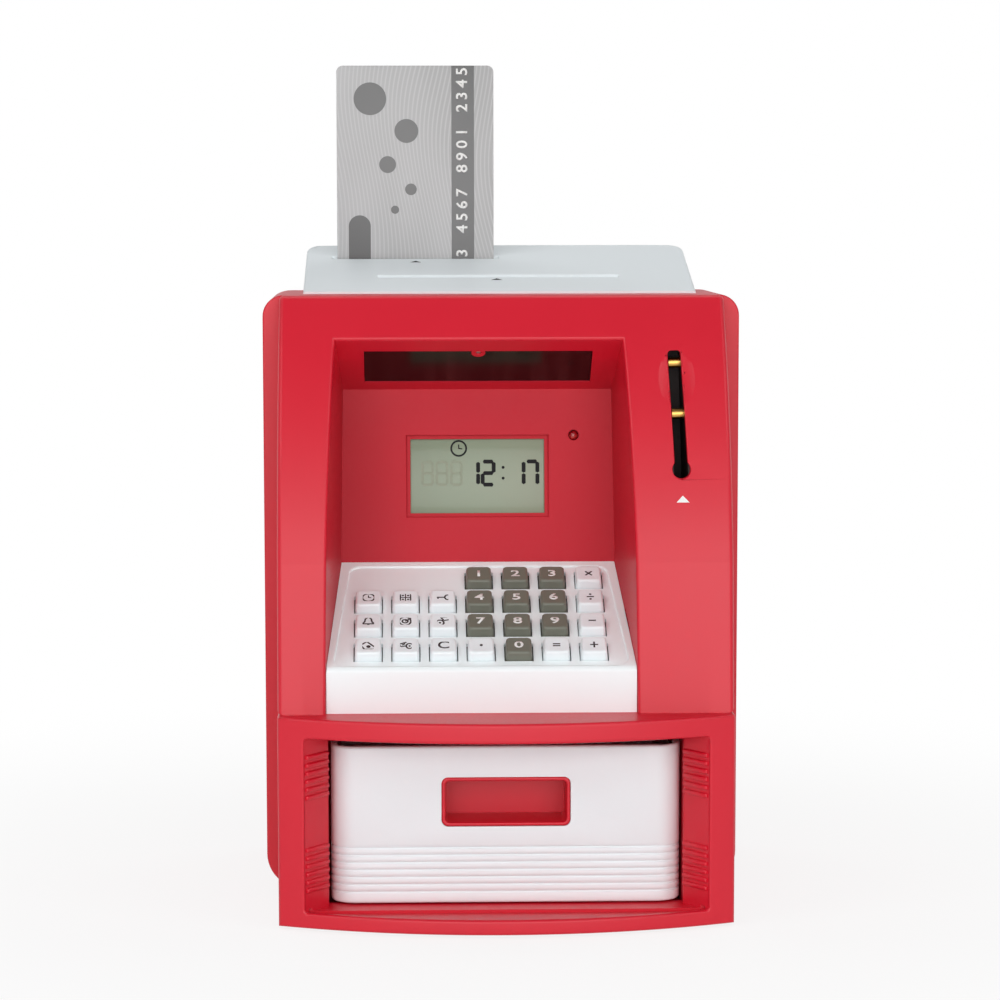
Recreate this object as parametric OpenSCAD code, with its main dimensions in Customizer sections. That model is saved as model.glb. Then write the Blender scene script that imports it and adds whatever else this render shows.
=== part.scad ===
// Coin bank built like a small cash machine. Millimetres, +Z up.
// X is to the right as seen from the front, Y runs from the front to the rear.
// The origin is the middle of the footprint, on the surface that the feet stand on.

/* [Housing] */
// Width of the rear shell
shell_w = 157.4; // [156:0.2:166]
// Width of the front housing and of the drawer surround
front_w = 146; // [144:0.5:148]
// Height of the red housing above the table
body_h = 200; // [198:0.5:203]
// Depth from the foremost point of the surround to the rear wall
body_d = 147.4; // [145:0.2:152]
// Depth of the front housing and of the drawer surround, back to the seam
front_d = 71.7; // [71:0.1:72.4]
// How far the surround bows forward in the middle
bow = 15.7; // [12:0.1:18]
// Wall of the red mouldings
wall = 2.2; // [1.9:0.1:2.4]
// Corner radius of the rear shell's top edges
shell_top_r = 7; // [4:0.5:9]
// Corner radius of the rear shell's bottom edges
shell_low_r = 12; // [9:0.5:13]
// Height of the rubber feet
foot_h = 1; // [0.6:0.1:2]
// Diameter of the rubber feet
foot_d = 11; // [8:0.5:14]

/* [Front face] */
// Height of the drawer surround
surround_h = 67.7; // [66.5:0.1:69]
// Set-back of the leaning face from the surround's corners
face_set = 4; // [2:0.5:5]
// Height of the crease above the surround
crease_up = 47.8; // [46:0.2:50]
// Set-back of the crease from the foot of the face
crease_set = 5.5; // [4:0.5:7]
// Lean of the face just above the crease, degrees
lean_low = 12; // [8:1:14]
// Lean of the face at its top edge, degrees
lean_top = 41; // [38:1:42]

/* [Alcove] */
// Sideways place of the alcove's middle
alcove_x = -7.8; // [-8.6:0.2:-7]
// Half width of the alcove at the foot of the face
alcove_half = 50; // [49.5:0.1:50.6]
// Narrowing of each alcove wall per millimetre of depth
alcove_draft = 0.085; // [0.075:0.005:0.09]
// Height of the alcove's ceiling at the face
ceiling_z = 186.3; // [185:0.1:188]
// Depth of the screen wall's foot behind the foot of the face
screen_set = 53; // [52:0.5:54]
// Height of the screen wall's foot
screen_z = 111.4; // [110.5:0.1:112.5]
// Height of the crease between the screen wall and the ceiling
screen_top_z = 168.1; // [167:0.1:169]
// Lean of the screen wall, degrees
screen_lean = 9; // [7:0.5:10]

/* [Screen and window] */
// Width of the screen's bezel opening
bezel_w = 47.1; // [45:0.1:49]
// Height of the screen's bezel opening
bezel_h = 27.2; // [26:0.2:28.4]
// Step from the bezel opening to the glass that shows
bezel_step = 1.2; // [0.8:0.1:1.8]
// Height of the glass's middle above the screen wall's foot
glass_up = 28.5; // [26:0.5:30]
// Thickness of the liquid crystal panel
glass_t = 2.8; // [2:0.1:3]
// Diameter of the indicator lamp
led_d = 3.2; // [2.5:0.1:4]
// Sideways place of the lamp from the alcove's middle
led_x = 32.1; // [31:0.1:33]
// Height of the lamp above the screen wall's foot
led_up = 42; // [40:0.2:44]
// Width of the bill window's opening
window_w = 75; // [70:1:78]
// Height of the bill window's opening along the ceiling
window_h = 19.5; // [17:0.5:20]
// Distance of the window's opening from the ceiling's front edge
window_in = 7.4; // [6.8:0.1:7.8]
// Thickness of the window plate
window_t = 1.5; // [1:0.1:2]

/* [Keypad] */
// Height of the deck's front edge above the surround
deck_front_h = 14.4; // [13.8:0.2:15]
// Set-back of the deck's front wall from the foot of the face
deck_set = 2.3; // [2:0.1:2.8]
// Thickness of the deck
deck_t = 2; // [1.6:0.1:2.2]
// Pitch of the key columns
key_px = 12.1; // [11.8:0.1:12.2]
// Pitch of the key rows
key_py = 12.9; // [12.2:0.1:13]
// Width and depth of a key at its base
key_base = 8.9; // [8.4:0.1:9.2]
// Width and depth of a key at its top
key_top = 7.6; // [7:0.1:8.2]
// Height of a key above the deck
key_h = 2.5; // [2.1:0.1:3.4]
// Travel of a key
key_travel = 1; // [0.6:0.1:1.1]
// Clearance round a key in its hole
key_gap = 0.25; // [0.2:0.05:0.3]
// Distance of the first row's middle from the deck's front edge
key_first = 9.2; // [8.8:0.05:9.6]

/* [Coin slot] */
// Width of the coin slot
coin_w = 4.2; // [3.6:0.1:4.6]
// Height of the slot's top end
coin_top_z = 182.6; // [180:0.2:184]
// Height of the round foot of the slot
coin_low_z = 145.5; // [143:0.2:148]
// Diameter of the slot's round foot
coin_bulb_d = 5.8; // [5.2:0.1:6.4]
// Sideways place of the slot's middle
coin_x = 56.2; // [55:0.2:57]
// Sideways lean of the slot, degrees
coin_lean = 1.8; // [0:0.1:2.5]
// Room between the coin guide and the rear shell
guide_room = 5; // [4:0.5:7]

/* [Cap, card and bill slots] */
// Width of the white cap
cap_w = 131.4; // [129:0.2:134]
// Depth of the white cap
cap_d = 59.7; // [58:0.1:61]
// Rise of the cap at its front edge
cap_front_h = 0.4; // [0.3:0.1:0.8]
// Slope of the cap, degrees
cap_slope = 13; // [11:0.5:14]
// Wall of the cap
cap_t = 2; // [1.6:0.1:2.2]
// Corner radius of the cap's rear corners
cap_r = 6; // [4:0.5:9]
// Sideways place of the bank card's middle
card_x = -27.9; // [-29.5:0.1:-27.5]
// Width of the bank card
card_w = 54; // [53:0.1:54.4]
// Length of the bank card
card_l = 85.6; // [80:0.1:88]
// Thickness of the bank card
card_t = 0.8; // [0.7:0.1:0.9]
// Height of the card's lower edge at rest
card_z = 190.4; // [190:0.1:192]
// Set-back of the card slot from the cap's front edge
card_set = 43; // [42:0.2:44]
// Front to back width of the card slot
card_slot_t = 3; // [2.6:0.1:3.4]
// Length of the bill slot
bill_w = 81.6; // [78:0.2:84]
// Front to back width of the bill slot
bill_slot_t = 2.4; // [2:0.1:2.8]
// Set-back of the bill slot from the cap's front edge
bill_set = 19; // [18.6:0.1:19.6]

/* [Drawer] */
// Width of the surround's front beside the mouth
land_w = 8.6; // [8:0.1:9.5]
// Height of the mouth's top edge above the floor's underside
mouth_top = 61.2; // [60.8:0.1:62.2]
// Height of the sill above the floor's underside
sill_h = 5; // [4.5:0.1:5.2]
// Depth of the pocket in the mouth's floor
pocket_deep = 1; // [0.4:0.1:1.2]
// Width of the lip in front of the pocket
lip_w = 2.2; // [1.6:0.1:3]
// How far each cheek slants in from the mouth to the drawer
cheek_in = 7.3; // [6.6:0.1:8]
// Height of the drawer's front
drawer_h = 51.1; // [50:0.1:52]
// Height of the drawer's side walls
drawer_side_h = 43; // [38:1:46]
// Room behind the drawer for its springs and the latch
drawer_room = 25.5; // [24.5:0.5:29]
// Set-back of the drawer's front from the surround's corners
drawer_set = 8; // [7:0.2:9]
// Wall of the drawer
drawer_t = 2.2; // [1.8:0.1:2.6]
// Corner radius of the drawer's front
drawer_r = 8; // [6:0.5:10]
// Clearance between the drawer and the surround on each side
drawer_gap = 0.7; // [0.4:0.1:1]
// Travel of the drawer
drawer_travel = 70; // [60:1:75]
// Number of grooves across the drawer's front
groove_n = 7; // [3:1:8]
// Pitch of the grooves
groove_pitch = 2.4; // [2:0.1:2.5]
// Width of the handle cup
cup_w = 41.6; // [36:0.2:46]
// Height of the handle cup
cup_h = 16.1; // [14:0.1:18]
// Depth of the handle cup
cup_d = 18; // [14:0.5:20]
// Height of the handle cup's middle above the drawer's underside
cup_up = 33; // [31:0.2:35]

/* [Bill feed] */
// Height of the nip between the feed rollers
nip_z = 180; // [179.5:0.1:180.5]
// Diameter of the driven rubber rollers
feed_d = 10; // [9:0.2:10.4]
// Diameter of the idler rollers
idler_d = 8; // [7:0.2:8.4]
// Diameter of the feed and idler shafts
shaft_d = 3; // [2.6:0.1:3.4]
// Radial clearance of a shaft in its bearing
bearing_gap = 0.06; // [0.04:0.01:0.08]
// Gap between the feed rollers and the idlers
nip_gap = 0.35; // [0.3:0.05:0.5]
// Teeth of the motor pinion
pinion_n = 10; // [9:1:11]
// Teeth of the roller gear
gear_n = 28; // [27:1:29]
// Tooth module of both gears
gear_m = 0.8; // [0.78:0.01:0.82]
// Width of the motor pinion and of the roller gear
gear_t = 4; // [3:0.5:4]
// Diameter of the motor
motor_d = 20; // [18:0.5:20]
// Length of the motor
motor_l = 25; // [22:1:27]

/* [Power and latch] */
// Diameter of a battery cell
cell_d = 14.5; // [14:0.1:14.6]
// Length of a battery cell
cell_l = 50.5; // [48:0.5:51]
// Number of battery cells
cell_n = 3; // [2:1:3]
// Height of the battery door's pins
door_z = 78; // [76:0.5:80]
// Radius of the battery door's knuckle
knuckle_r = 2.2; // [2:0.1:2.3]
// Diameter of the battery door's pins
pin_d = 2.4; // [2:0.1:2.6]
// Height of the latch lever's pivot
latch_z = 46; // [45:0.5:48]
// Diameter of the latch lever's pivot
latch_pin_d = 2.5; // [2:0.1:3]
// Swing of the latch lever, degrees
latch_swing = 20; // [16:1:22]
// Outer diameter of an eject spring
spring_d = 8; // [7:0.5:9]
// Wire diameter of an eject spring
spring_wire = 0.9; // [0.6:0.1:1]
// Turns of an eject spring
spring_turns = 7; // [5:1:8]

/* [Fasteners and boards] */
// Shank diameter of the case screws
screw_d = 3; // [2.6:0.1:3.4]
// Head diameter of the case screws
head_d = 5.6; // [5:0.1:6]
// Distance of the case screws from the side of the front housing
case_screw_in = 8.2; // [8:0.2:9.4]
// Thickness of the circuit boards
board_t = 1.6; // [1:0.1:1.8]
// Diameter of the sounder
sounder_d = 27; // [22:1:30]

/* [Hidden] */
KEYS = ["key_1", "key_2", "key_3", "key_times",
        "key_clock", "key_sums", "key_code", "key_4", "key_5", "key_6", "key_divide",
        "key_alarm", "key_target", "key_balance", "key_7", "key_8", "key_9", "key_minus",
        "key_deposit", "key_withdraw", "key_clear", "key_point", "key_0", "key_equals", "key_plus"];
// Places of the grey figure keys in KEYS
FIGURES = [0, 1, 2, 7, 8, 9, 14, 15, 16, 22];

$fn = 48;
eps = 0.01;
slip = 0.15;
seat = 0.02;

front_y = -body_d / 2;
rear_y = body_d / 2;
inner_rear = rear_y - wall;
corner_y = front_y + bow;
seam_y = front_y + front_d;
foot_y = corner_y + face_set;
crease_y = foot_y + crease_set;
base_z = foot_h;
surround_z = base_z + surround_h;
crease_z = surround_z + crease_up;
floor_z = base_z + wall;
roof_z = body_h - wall;
front_half = front_w / 2;
shell_half = shell_w / 2;

bow_r = (front_half * front_half + bow * bow) / (2 * bow);
bow_y = front_y + bow_r;
face_r = (body_h - crease_z) / (sin(lean_top) - sin(lean_low));
face_y = crease_y + face_r * cos(lean_low);
face_z = crease_z - face_r * sin(lean_low);
tongue_t = 1.4;
tongue_l = 4;

screen_y = foot_y + screen_set;
screen_top_y = screen_y + (screen_top_z - screen_z) * tan(screen_lean);
ceiling_y = face_y - sqrt(face_r * face_r - pow(ceiling_z - face_z, 2));
ceiling_tilt = atan2(ceiling_z - screen_top_z, screen_top_y - ceiling_y);
screen_foot_z = screen_z - 2;
alcove_back = screen_top_y + 8;
alcove_reach = alcove_half - alcove_x - 0.7;
lcd_w = bezel_w + 3;
lcd_h = bezel_h + 3.4;
holder_t = 3.5;
board_y = wall + glass_t + holder_t;
board_w = 84;
board_low = 5;
board_h = 50;
post_d = 5;
post_in = 4;
window_rim = 2;
pane_in = 0.4;
window_screw_s = window_in + 1.2;
lug_d = 4.6;
lug_screw_d = 1.9;

deck_y = foot_y + deck_set;
deck_z = surround_z + deck_front_h;
deck_back_z = screen_z - 0.2;
deck_tilt = atan2(deck_back_z - deck_z, screen_y - slip - deck_y);
deck_l = (deck_back_z - deck_z) / sin(deck_tilt);
key_flange = key_base + 1.6;
key_flange_t = 0.8;
mat_z = -deck_t - key_flange_t - key_travel - 0.3;
mat_t = 1.2;
dome_h = 0.2;
pad_board_z = mat_z - dome_h - mat_t;
pad_post_d = 4;
pad_post_s = key_first + 3 * key_py + key_flange / 2 + 0.3 + pad_post_d / 2;
pad_half = 3 * key_px + key_flange / 2 + 0.4;
pad_low = 1.6;
recess_t = 0.6;
notch_s = 19.6;
notch_l = 11.4;
notch_h = 0.9;
recess_m = 2.7;
recess_r = 4;
recess_low = 1.6;
recess_high = deck_l - 2.4;

coin_mid_z = (coin_top_z + coin_low_z) / 2;
guide_half = 5.2;
guide_low_z = 118;
guide_back = seam_y - guide_room;
guide_top_z = coin_top_z + 3;

cap_y = rear_y - cap_d;
cap_z = body_h + cap_front_h;
card_y = cap_y + card_set;
bill_y = cap_y + bill_set;
hole_left = -60;
hole_right = 50;
hole_front = cap_y + 8;
hole_rear = rear_y - 5.7;
guide_gap = 0.3;
card_guide_t = 1.2;
card_in_t = card_t + 2 * guide_gap;
card_in_w = card_w + 2 * guide_gap;
card_guide_z = card_z - 0.3 - card_guide_t;

mouth_z0 = base_z + sill_h;
mouth_z1 = base_z + mouth_top;
mouth_half = front_half - land_w;
channel_half = mouth_half - cheek_in;
drawer_w = 2 * (channel_half - drawer_gap);
drawer_y = corner_y + drawer_set;
drawer_z = mouth_z0 + 0.5;
runner_x = 46;
runner_w = 3;
runner_h = drawer_z - 0.3 - floor_z;
sill_d = 4;
stop_half = 10;
stop_y = drawer_y + sill_d + drawer_travel + 0.5;
mouth_front_y = bow_y - sqrt(bow_r * bow_r - mouth_half * mouth_half);
cheek_y = drawer_y - 1;
drawer_back = inner_rear - drawer_room;
drawer_d = drawer_back - drawer_y;
groove_low = 3.4;
cup_t = 1.2;
cup_flange = 2.5;

feed_y = bill_y + nip_gap / 2 + feed_d / 2;
idler_y = bill_y - nip_gap / 2 - idler_d / 2;
motor_y = feed_y + gear_m * (pinion_n + gear_n) / 2;
plate_t = 2;
plate_x = bill_w / 2 + 4.2;
plate_low = 165;
roller_x = 22;
roller_w = 10;
gear_x = plate_x + plate_t + 2;
ear_y0 = bill_y - 9;
ear_y1 = bill_y + 11;
ear_reach = 5;
bearing_d = shaft_d + 2 * bearing_gap;
chute_gap = 4;
chute_t = 2;
chute_low = base_z + surround_h + 1;

box_t = 1.5;
cell_pitch = cell_d + 0.5;
box_in_h = cell_n * cell_pitch;
box_in_w = cell_l + 6.5;
box_z = door_z + knuckle_r + 0.8 + box_t;
box_top = box_z + box_in_h + box_t;
box_depth = cell_d + 1.5;
cell_y = inner_rear - box_depth + cell_d / 2 + 0.1;
door_half = box_in_w / 2 + 2.2;
door_top = box_top + 5.6;
door_gap = 0.4;
door_screw_z = box_top + 2.6;
door_screw_l = 6;
door_bore_d = screw_d + 0.8;

latch_y = inner_rear - 5.5;
tooth_reach = 12.5;
tooth_t = 1.8;
lever_t = 2.8;
latch_half = 3.4;
strike_z = latch_z - 15;
strike_h = 3;
strike_t = 2;
strike_gap = 0.5;
strike_reach = latch_y - tooth_reach + tooth_t + strike_gap - drawer_back;
shelf_z = latch_z + 9;
coil_y = latch_y - 8;
core_d = 5;
core_z = latch_z + (latch_y - coil_y + core_d / 2) * tan(latch_swing) + lever_t / 2 / cos(latch_swing) + 0.3;
spring_x = 35;
spring_peg_l = 8;
screw_seat = 8;
screw_l = 16;
boss_l = 12;
boss_d = screw_d + 4;
boss_web = 1.8;
thread_gap = 0.1;
case_screw_x = front_half - case_screw_in;
case_screw_low = 14.5;
case_screw_high = body_h - 10;
sounder_x = shell_half - 37.2;
sounder_z = 160;
foot_x = 58;
foot_y0 = corner_y + 10;
foot_y1 = rear_y - 14;

// Extrudes a Y-Z outline over a width, centred on X
module along_x(w) {
    rotate([90, 0, 90]) linear_extrude(w, center = true) children();
}

// Extrudes an X-Z outline from one depth to another
module along_y(y0, y1) {
    translate([0, y1, 0]) rotate([90, 0, 0]) linear_extrude(y1 - y0) children();
}

// Extrudes an X-Y outline from one height to another
module along_z(z0, z1) {
    translate([0, 0, z0]) linear_extrude(z1 - z0) children();
}

// A box between two corners
module span(x0, x1, y0, y1, z0, z1) {
    translate([x0, y0, z0]) cube([x1 - x0, y1 - y0, z1 - z0]);
}

// A rod along X between two ends
module rod_x(x0, x1, y, z, d) {
    translate([x0, y, z]) rotate([0, 90, 0]) cylinder(d = d, h = x1 - x0);
}

// A rod along Y between two ends
module rod_y(x, y0, y1, z, d) {
    translate([x, y0, z]) rotate([-90, 0, 0]) cylinder(d = d, h = y1 - y0);
}

// A centred rectangle with round corners
module round_rect(w, h, r) {
    square([w - 2 * r, h], center = true);
    square([w, h - 2 * r], center = true);
    for (sx = [-1, 1], sy = [-1, 1])
        translate([sx * (w / 2 - r), sy * (h / 2 - r)]) circle(r);
}

// Side view of everything behind the leaning face, whose upper part is an arc
module face_profile(inset, back) {
    r = face_r - inset;
    top = asin((body_h - inset - face_z) / r);
    steps = 14;
    polygon(concat([[foot_y + inset, surround_z - inset]],
        [for (i = [0 : steps]) let (a = lean_low + (top - lean_low) * i / steps)
            [face_y - r * cos(a), face_z + r * sin(a)]],
        [[back, body_h - inset], [back, surround_z - inset]]));
}

// Plan of the alcove, grown sideways and backwards
module alcove_plan(grow, back) {
    y0 = front_y - 5;
    y1 = back;
    half0 = alcove_half - (y0 - foot_y) * alcove_draft + grow;
    half1 = alcove_half - (y1 - foot_y) * alcove_draft + grow;
    translate([alcove_x, 0]) polygon([[-half0, y0], [half0, y0], [half1, y1], [-half1, y1]]);
}

// Side view of the alcove's space, grown towards the inside of the bank
module alcove_side(grow) {
    up = grow / cos(ceiling_tilt);
    back = grow / cos(screen_lean);
    slope = tan(ceiling_tilt);
    lean = tan(screen_lean);
    // Where the grown ceiling meets the grown screen wall
    corner = (ceiling_z + up + slope * ceiling_y - screen_z + (screen_y + back) / lean) / (slope + 1 / lean);
    corner_z = ceiling_z + up - slope * (corner - ceiling_y);
    foot = screen_y + back - (screen_z - screen_foot_z) * lean;
    polygon([[front_y - 5, surround_z - 1], [foot, surround_z - 1], [foot, screen_foot_z],
             [corner, corner_z], [ceiling_y - 20, ceiling_z + up + slope * 20],
             [front_y - 5, ceiling_z + up + slope * 20]]);
}

// Side view of the alcove's space, and of the space under the deck, which is open to the rear
module alcove_void_side() {
    polygon([[front_y - 5, surround_z - 1], [alcove_back + 1, surround_z - 1],
             [alcove_back + 1, screen_foot_z], [screen_y, screen_foot_z], [screen_y, screen_z],
             [screen_top_y, screen_top_z], [ceiling_y, ceiling_z], [front_y - 5, ceiling_z]]);
}

// Places children on the screen wall: X across, Z up the wall, Y into the bank
module on_screen() {
    translate([alcove_x, screen_y, screen_z]) rotate([-screen_lean, 0, 0]) children();
}

// Places children on the ceiling: X across, Y inwards and down the slope, Z up out of the alcove
module on_ceiling() {
    translate([alcove_x, ceiling_y, ceiling_z]) rotate([-ceiling_tilt, 0, 0]) children();
}

// Places children on the deck: X across, Y up the slope, Z out of the deck
module on_deck() {
    translate([alcove_x, deck_y, deck_z]) rotate([deck_tilt, 0, 0]) children();
}

// Places children in the leaning plane of the coin slot
module on_coin() {
    translate([coin_x, 0, coin_mid_z]) rotate([0, -coin_lean, 0])
        translate([0, 0, -coin_mid_z]) children();
}

function screw_spots() = [for (sx = [-1, 1], z = [case_screw_low, case_screw_high]) [sx * case_screw_x, z]];
function post_spots() = [for (sx = [-1, 1], s = [post_in, board_h - post_in])
    [sx * (board_w / 2 - post_in), board_low + s]];
function pad_post_x() = [-pad_half + 5, 0, pad_half - 5];

module front_housing() color("crimson") {
    difference() {
        union() {
            difference() {
                along_x(front_w) face_profile(0, seam_y);
                along_x(front_w - 2 * wall) face_profile(wall, seam_y + 1);
            }
            // Tongue that plugs into the rear shell
            difference() {
                along_x(front_w - 2 * wall) face_profile(wall, seam_y + tongue_l);
                along_x(front_w - 2 * (wall + tongue_t))
                    face_profile(wall + tongue_t, seam_y + tongue_l + 1);
                span(-front_half, front_half, front_y, seam_y + tongue_l + 1, surround_z - 5, surround_z + 8);
                span(-front_half, front_half, front_y, seam_y - 3, surround_z - 1, body_h);
            }
            // Walls of the alcove
            intersection() {
                along_x(front_w - 2) alcove_side(wall);
                along_z(surround_z, body_h) alcove_plan(wall, alcove_back);
                along_x(front_w) face_profile(0, alcove_back);
            }
            // Ribs that hold the screen, and posts that carry the main board
            on_screen() translate([0, 0, glass_up]) along_y(wall - eps, wall + glass_t) difference() {
                square([lcd_w + 2.6, lcd_h + 2.6], center = true);
                square([lcd_w + 0.3, lcd_h + 0.3], center = true);
            }
            on_screen() for (p = post_spots()) rod_y(p[0], wall - eps, board_y, p[1], post_d);
            // Bosses for the upper case screws
            for (sx = [-1, 1]) difference() {
                rod_y(sx * case_screw_x, seam_y - boss_l + 3, seam_y, case_screw_high, boss_d + 1);
                rod_y(sx * case_screw_x, seam_y - boss_l + 3.2, seam_y + 1, case_screw_high,
                      screw_d + thread_gap);
            }
        }
        intersection() {
            along_x(front_w) alcove_void_side();
            along_z(surround_z - 2, body_h) alcove_plan(0, alcove_back + 2);
        }
        // Bezel opening with its step down to the glass
        on_screen() {
            translate([0, 0, glass_up]) along_y(-1, wall * 0.65) square([bezel_w, bezel_h], center = true);
            translate([0, 0, glass_up]) along_y(0, wall + 1)
                square([bezel_w - 2 * bezel_step, bezel_h - 2 * bezel_step], center = true);
            rod_y(led_x, -1, wall + 1, led_up, led_d + 0.2);
            for (p = post_spots()) rod_y(p[0], wall + 1, board_y + 1, p[1], 2);
        }
        // Opening for the bill window, with a round lug for the window's screw
        on_ceiling() difference() {
            span(-window_w / 2, window_w / 2, window_in, window_in + window_h, -1, wall + 1);
            translate([0, window_screw_s, -2]) cylinder(d = lug_d, h = wall + 4);
        }
        on_ceiling() translate([0, window_screw_s, -1]) cylinder(d = lug_screw_d + 0.1, h = wall + 2);
        // Catch window beside the deck
        on_deck() span(alcove_half - 6, alcove_half + 4, notch_s, notch_s + notch_l, -recess_t, notch_h);
        // Coin slot with its round foot
        on_coin() {
            translate([0, 0, coin_mid_z]) along_y(front_y, face_y - face_r + 60)
                round_rect(coin_w, coin_top_z - coin_low_z, 1.2);
            rod_y(0, front_y, face_y - face_r + 60, coin_low_z, coin_bulb_d);
        }
    }
}

// Plan of the surround: straight sides and a bowed front
module surround_plan() {
    intersection() {
        translate([0, bow_y]) circle(bow_r, $fn = 240);
        translate([-front_half, front_y - 1]) square([front_w, seam_y - front_y + 1]);
    }
}

module drawer_surround() color("crimson") {
    difference() {
        along_z(base_z, surround_z) surround_plan();
        // Mouth between the slanting cheeks
        along_z(mouth_z0, mouth_z1) polygon([[-mouth_half, front_y - 5], [mouth_half, front_y - 5],
            [mouth_half, mouth_front_y + 0.6], [channel_half, cheek_y], [channel_half, seam_y + 1],
            [-channel_half, seam_y + 1], [-channel_half, cheek_y], [-mouth_half, mouth_front_y + 0.6]]);
        // Pocket in the mouth's floor, between a straight ledge and the bowed lip
        along_z(mouth_z0 - pocket_deep, mouth_z0 + 1) intersection() {
            translate([0, bow_y]) circle(bow_r - lip_w, $fn = 240);
            translate([-mouth_half + 0.6, front_y]) square([2 * mouth_half - 1.2, corner_y - front_y]);
        }
        // Head room behind the top bar
        span(-channel_half, channel_half, corner_y, seam_y + 1, mouth_z1 - 1, surround_z - wall);
        // Bay behind the sill
        span(-channel_half, channel_half, drawer_y + sill_d, seam_y + 1, floor_z, mouth_z1);
        // Hollow behind each cheek
        for (sx = [-1, 1]) mirror([sx < 0 ? 1 : 0, 0, 0]) along_z(floor_z, surround_z - wall)
            polygon([[front_half - wall, mouth_front_y + 8], [front_half - wall, seam_y + 1],
                     [channel_half + wall, seam_y + 1], [channel_half + wall, cheek_y + 1],
                     [mouth_half + 0.8, mouth_front_y + 4.4]]);
        // Coins fall through here from the guide
        span(coin_x - guide_half - 9, coin_x - 4, foot_y + 10, seam_y - 8,
             surround_z - wall - 1, surround_z + 1);
    }
    // Runners under the drawer
    for (sx = [-1, 1]) span(sx * runner_x - runner_w / 2, sx * runner_x + runner_w / 2,
        drawer_y + sill_d - eps, seam_y, floor_z - eps, floor_z + runner_h);
    // Bosses for the lower case screws, each on a web
    for (sx = [-1, 1]) difference() {
        union() {
            rod_y(sx * case_screw_x, seam_y - boss_l, seam_y, case_screw_low, boss_d);
            span(sx * case_screw_x - boss_web / 2, sx * case_screw_x + boss_web / 2, seam_y - boss_l, seam_y,
                 floor_z - eps, case_screw_low);
        }
        rod_y(sx * case_screw_x, seam_y - boss_l - 1, seam_y + 1, case_screw_low, screw_d + thread_gap);
    }
}

// Front view of the rear shell, drawn in from its outside by an inset
module shell_outline(inset) {
    half = shell_half - inset;
    z0 = base_z + inset;
    z1 = body_h - inset;
    low_r = shell_low_r - inset;
    top_r = shell_top_r - inset;
    translate([-half + low_r, z0]) square([2 * (half - low_r), low_r]);
    translate([-half, z0 + low_r]) square([2 * half, z1 - z0 - low_r - top_r]);
    translate([-half + top_r, z1 - top_r]) square([2 * (half - top_r), top_r]);
    for (sx = [-1, 1]) {
        translate([sx * (half - low_r), z0 + low_r]) circle(low_r);
        translate([sx * (half - top_r), z1 - top_r]) circle(top_r);
    }
}

module rear_shell() color("firebrick") {
    door_x = door_half + door_gap;
    lug_x = door_x + 4;
    difference() {
        union() {
            difference() {
                along_y(seam_y, rear_y) shell_outline(0);
                along_y(seam_y + wall, rear_y - wall) shell_outline(wall);
                // Front openings: the upper one for the housing's tongue, the lower one for the drawer
                span(-front_half + wall - slip, front_half - wall + slip, seam_y - 1, seam_y + wall + 1,
                     surround_z + 8 - slip, roof_z + slip);
                span(-channel_half, channel_half, seam_y - 1, seam_y + wall + 1, floor_z, surround_z - wall);
                span(-alcove_reach, alcove_reach, seam_y - 1, seam_y + wall + 1,
                     surround_z - wall - 1, surround_z + 8);
                // Opening under the cap
                span(hole_left, hole_right, hole_front, hole_rear, roof_z - 1, body_h + 1);
                // Opening for the battery door
                span(-door_x, door_x, inner_rear - 1, rear_y + 1,
                     door_z - knuckle_r - door_gap, door_top + door_gap);
            }
            // Screw tubes from the rear wall to the front plate
            for (p = screw_spots()) rod_y(p[0], seam_y + wall - eps, inner_rear + eps, p[1], head_d + 3);
            // Runners under the drawer
            for (sx = [-1, 1]) span(sx * runner_x - runner_w / 2, sx * runner_x + runner_w / 2,
                seam_y, drawer_back + 2, floor_z - eps, floor_z + runner_h);
            // Lugs that hold the battery door's pins
            for (sx = [-1, 1]) span(min(sx * door_x, sx * lug_x), max(sx * door_x, sx * lug_x),
                inner_rear - pin_d / 2 - 1.6, inner_rear + eps, door_z - 3.2, door_z + 3.2);
            // Pegs for the eject springs
            for (sx = [-1, 1]) rod_y(sx * spring_x, inner_rear - spring_peg_l, inner_rear + eps,
                drawer_z + drawer_side_h / 2, spring_d - 2 * spring_wire - 0.6);
        }
        for (p = screw_spots()) {
            rod_y(p[0], seam_y - 1, rear_y, p[1], screw_d + 0.4);
            rod_y(p[0], seam_y + screw_seat, rear_y + 1, p[1], head_d + 0.8);
        }
        rod_x(-lug_x + 0.8, lug_x - 0.8, inner_rear, door_z, pin_d + 2 * bearing_gap);
        // Sound holes over the sounder
        for (ring = [0 : 2]) for (k = [0 : max(1, ring * 6) - 1])
            sound_hole(ring * 4, k * 360 / max(1, ring * 6));
    }
}

// One sound hole of the rear wall, at a distance and an angle from the sounder's middle
module sound_hole(r, a) {
    rod_y(sounder_x + r * cos(a), inner_rear - 1, rear_y + 1, sounder_z + r * sin(a), 2);
}

// Side view of the cap's wedge above a base line, lowered by an inset
module cap_side(inset, base) {
    rise = cap_d * tan(cap_slope);
    polygon([[cap_y - eps, base], [cap_y - eps, cap_z - inset],
             [rear_y + eps, cap_z + rise - inset], [rear_y + eps, base]]);
}

// Plan of the cap: square front corners and round rear corners
module cap_plan(inset) {
    half = cap_w / 2 - inset;
    r = cap_r - inset;
    translate([-half, cap_y + inset]) square([2 * half, cap_d - 2 * inset - r]);
    translate([-half + r, cap_y + inset]) square([2 * (half - r), cap_d - 2 * inset]);
    for (sx = [-1, 1]) translate([sx * (half - r), rear_y - inset - r]) circle(r);
}

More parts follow.
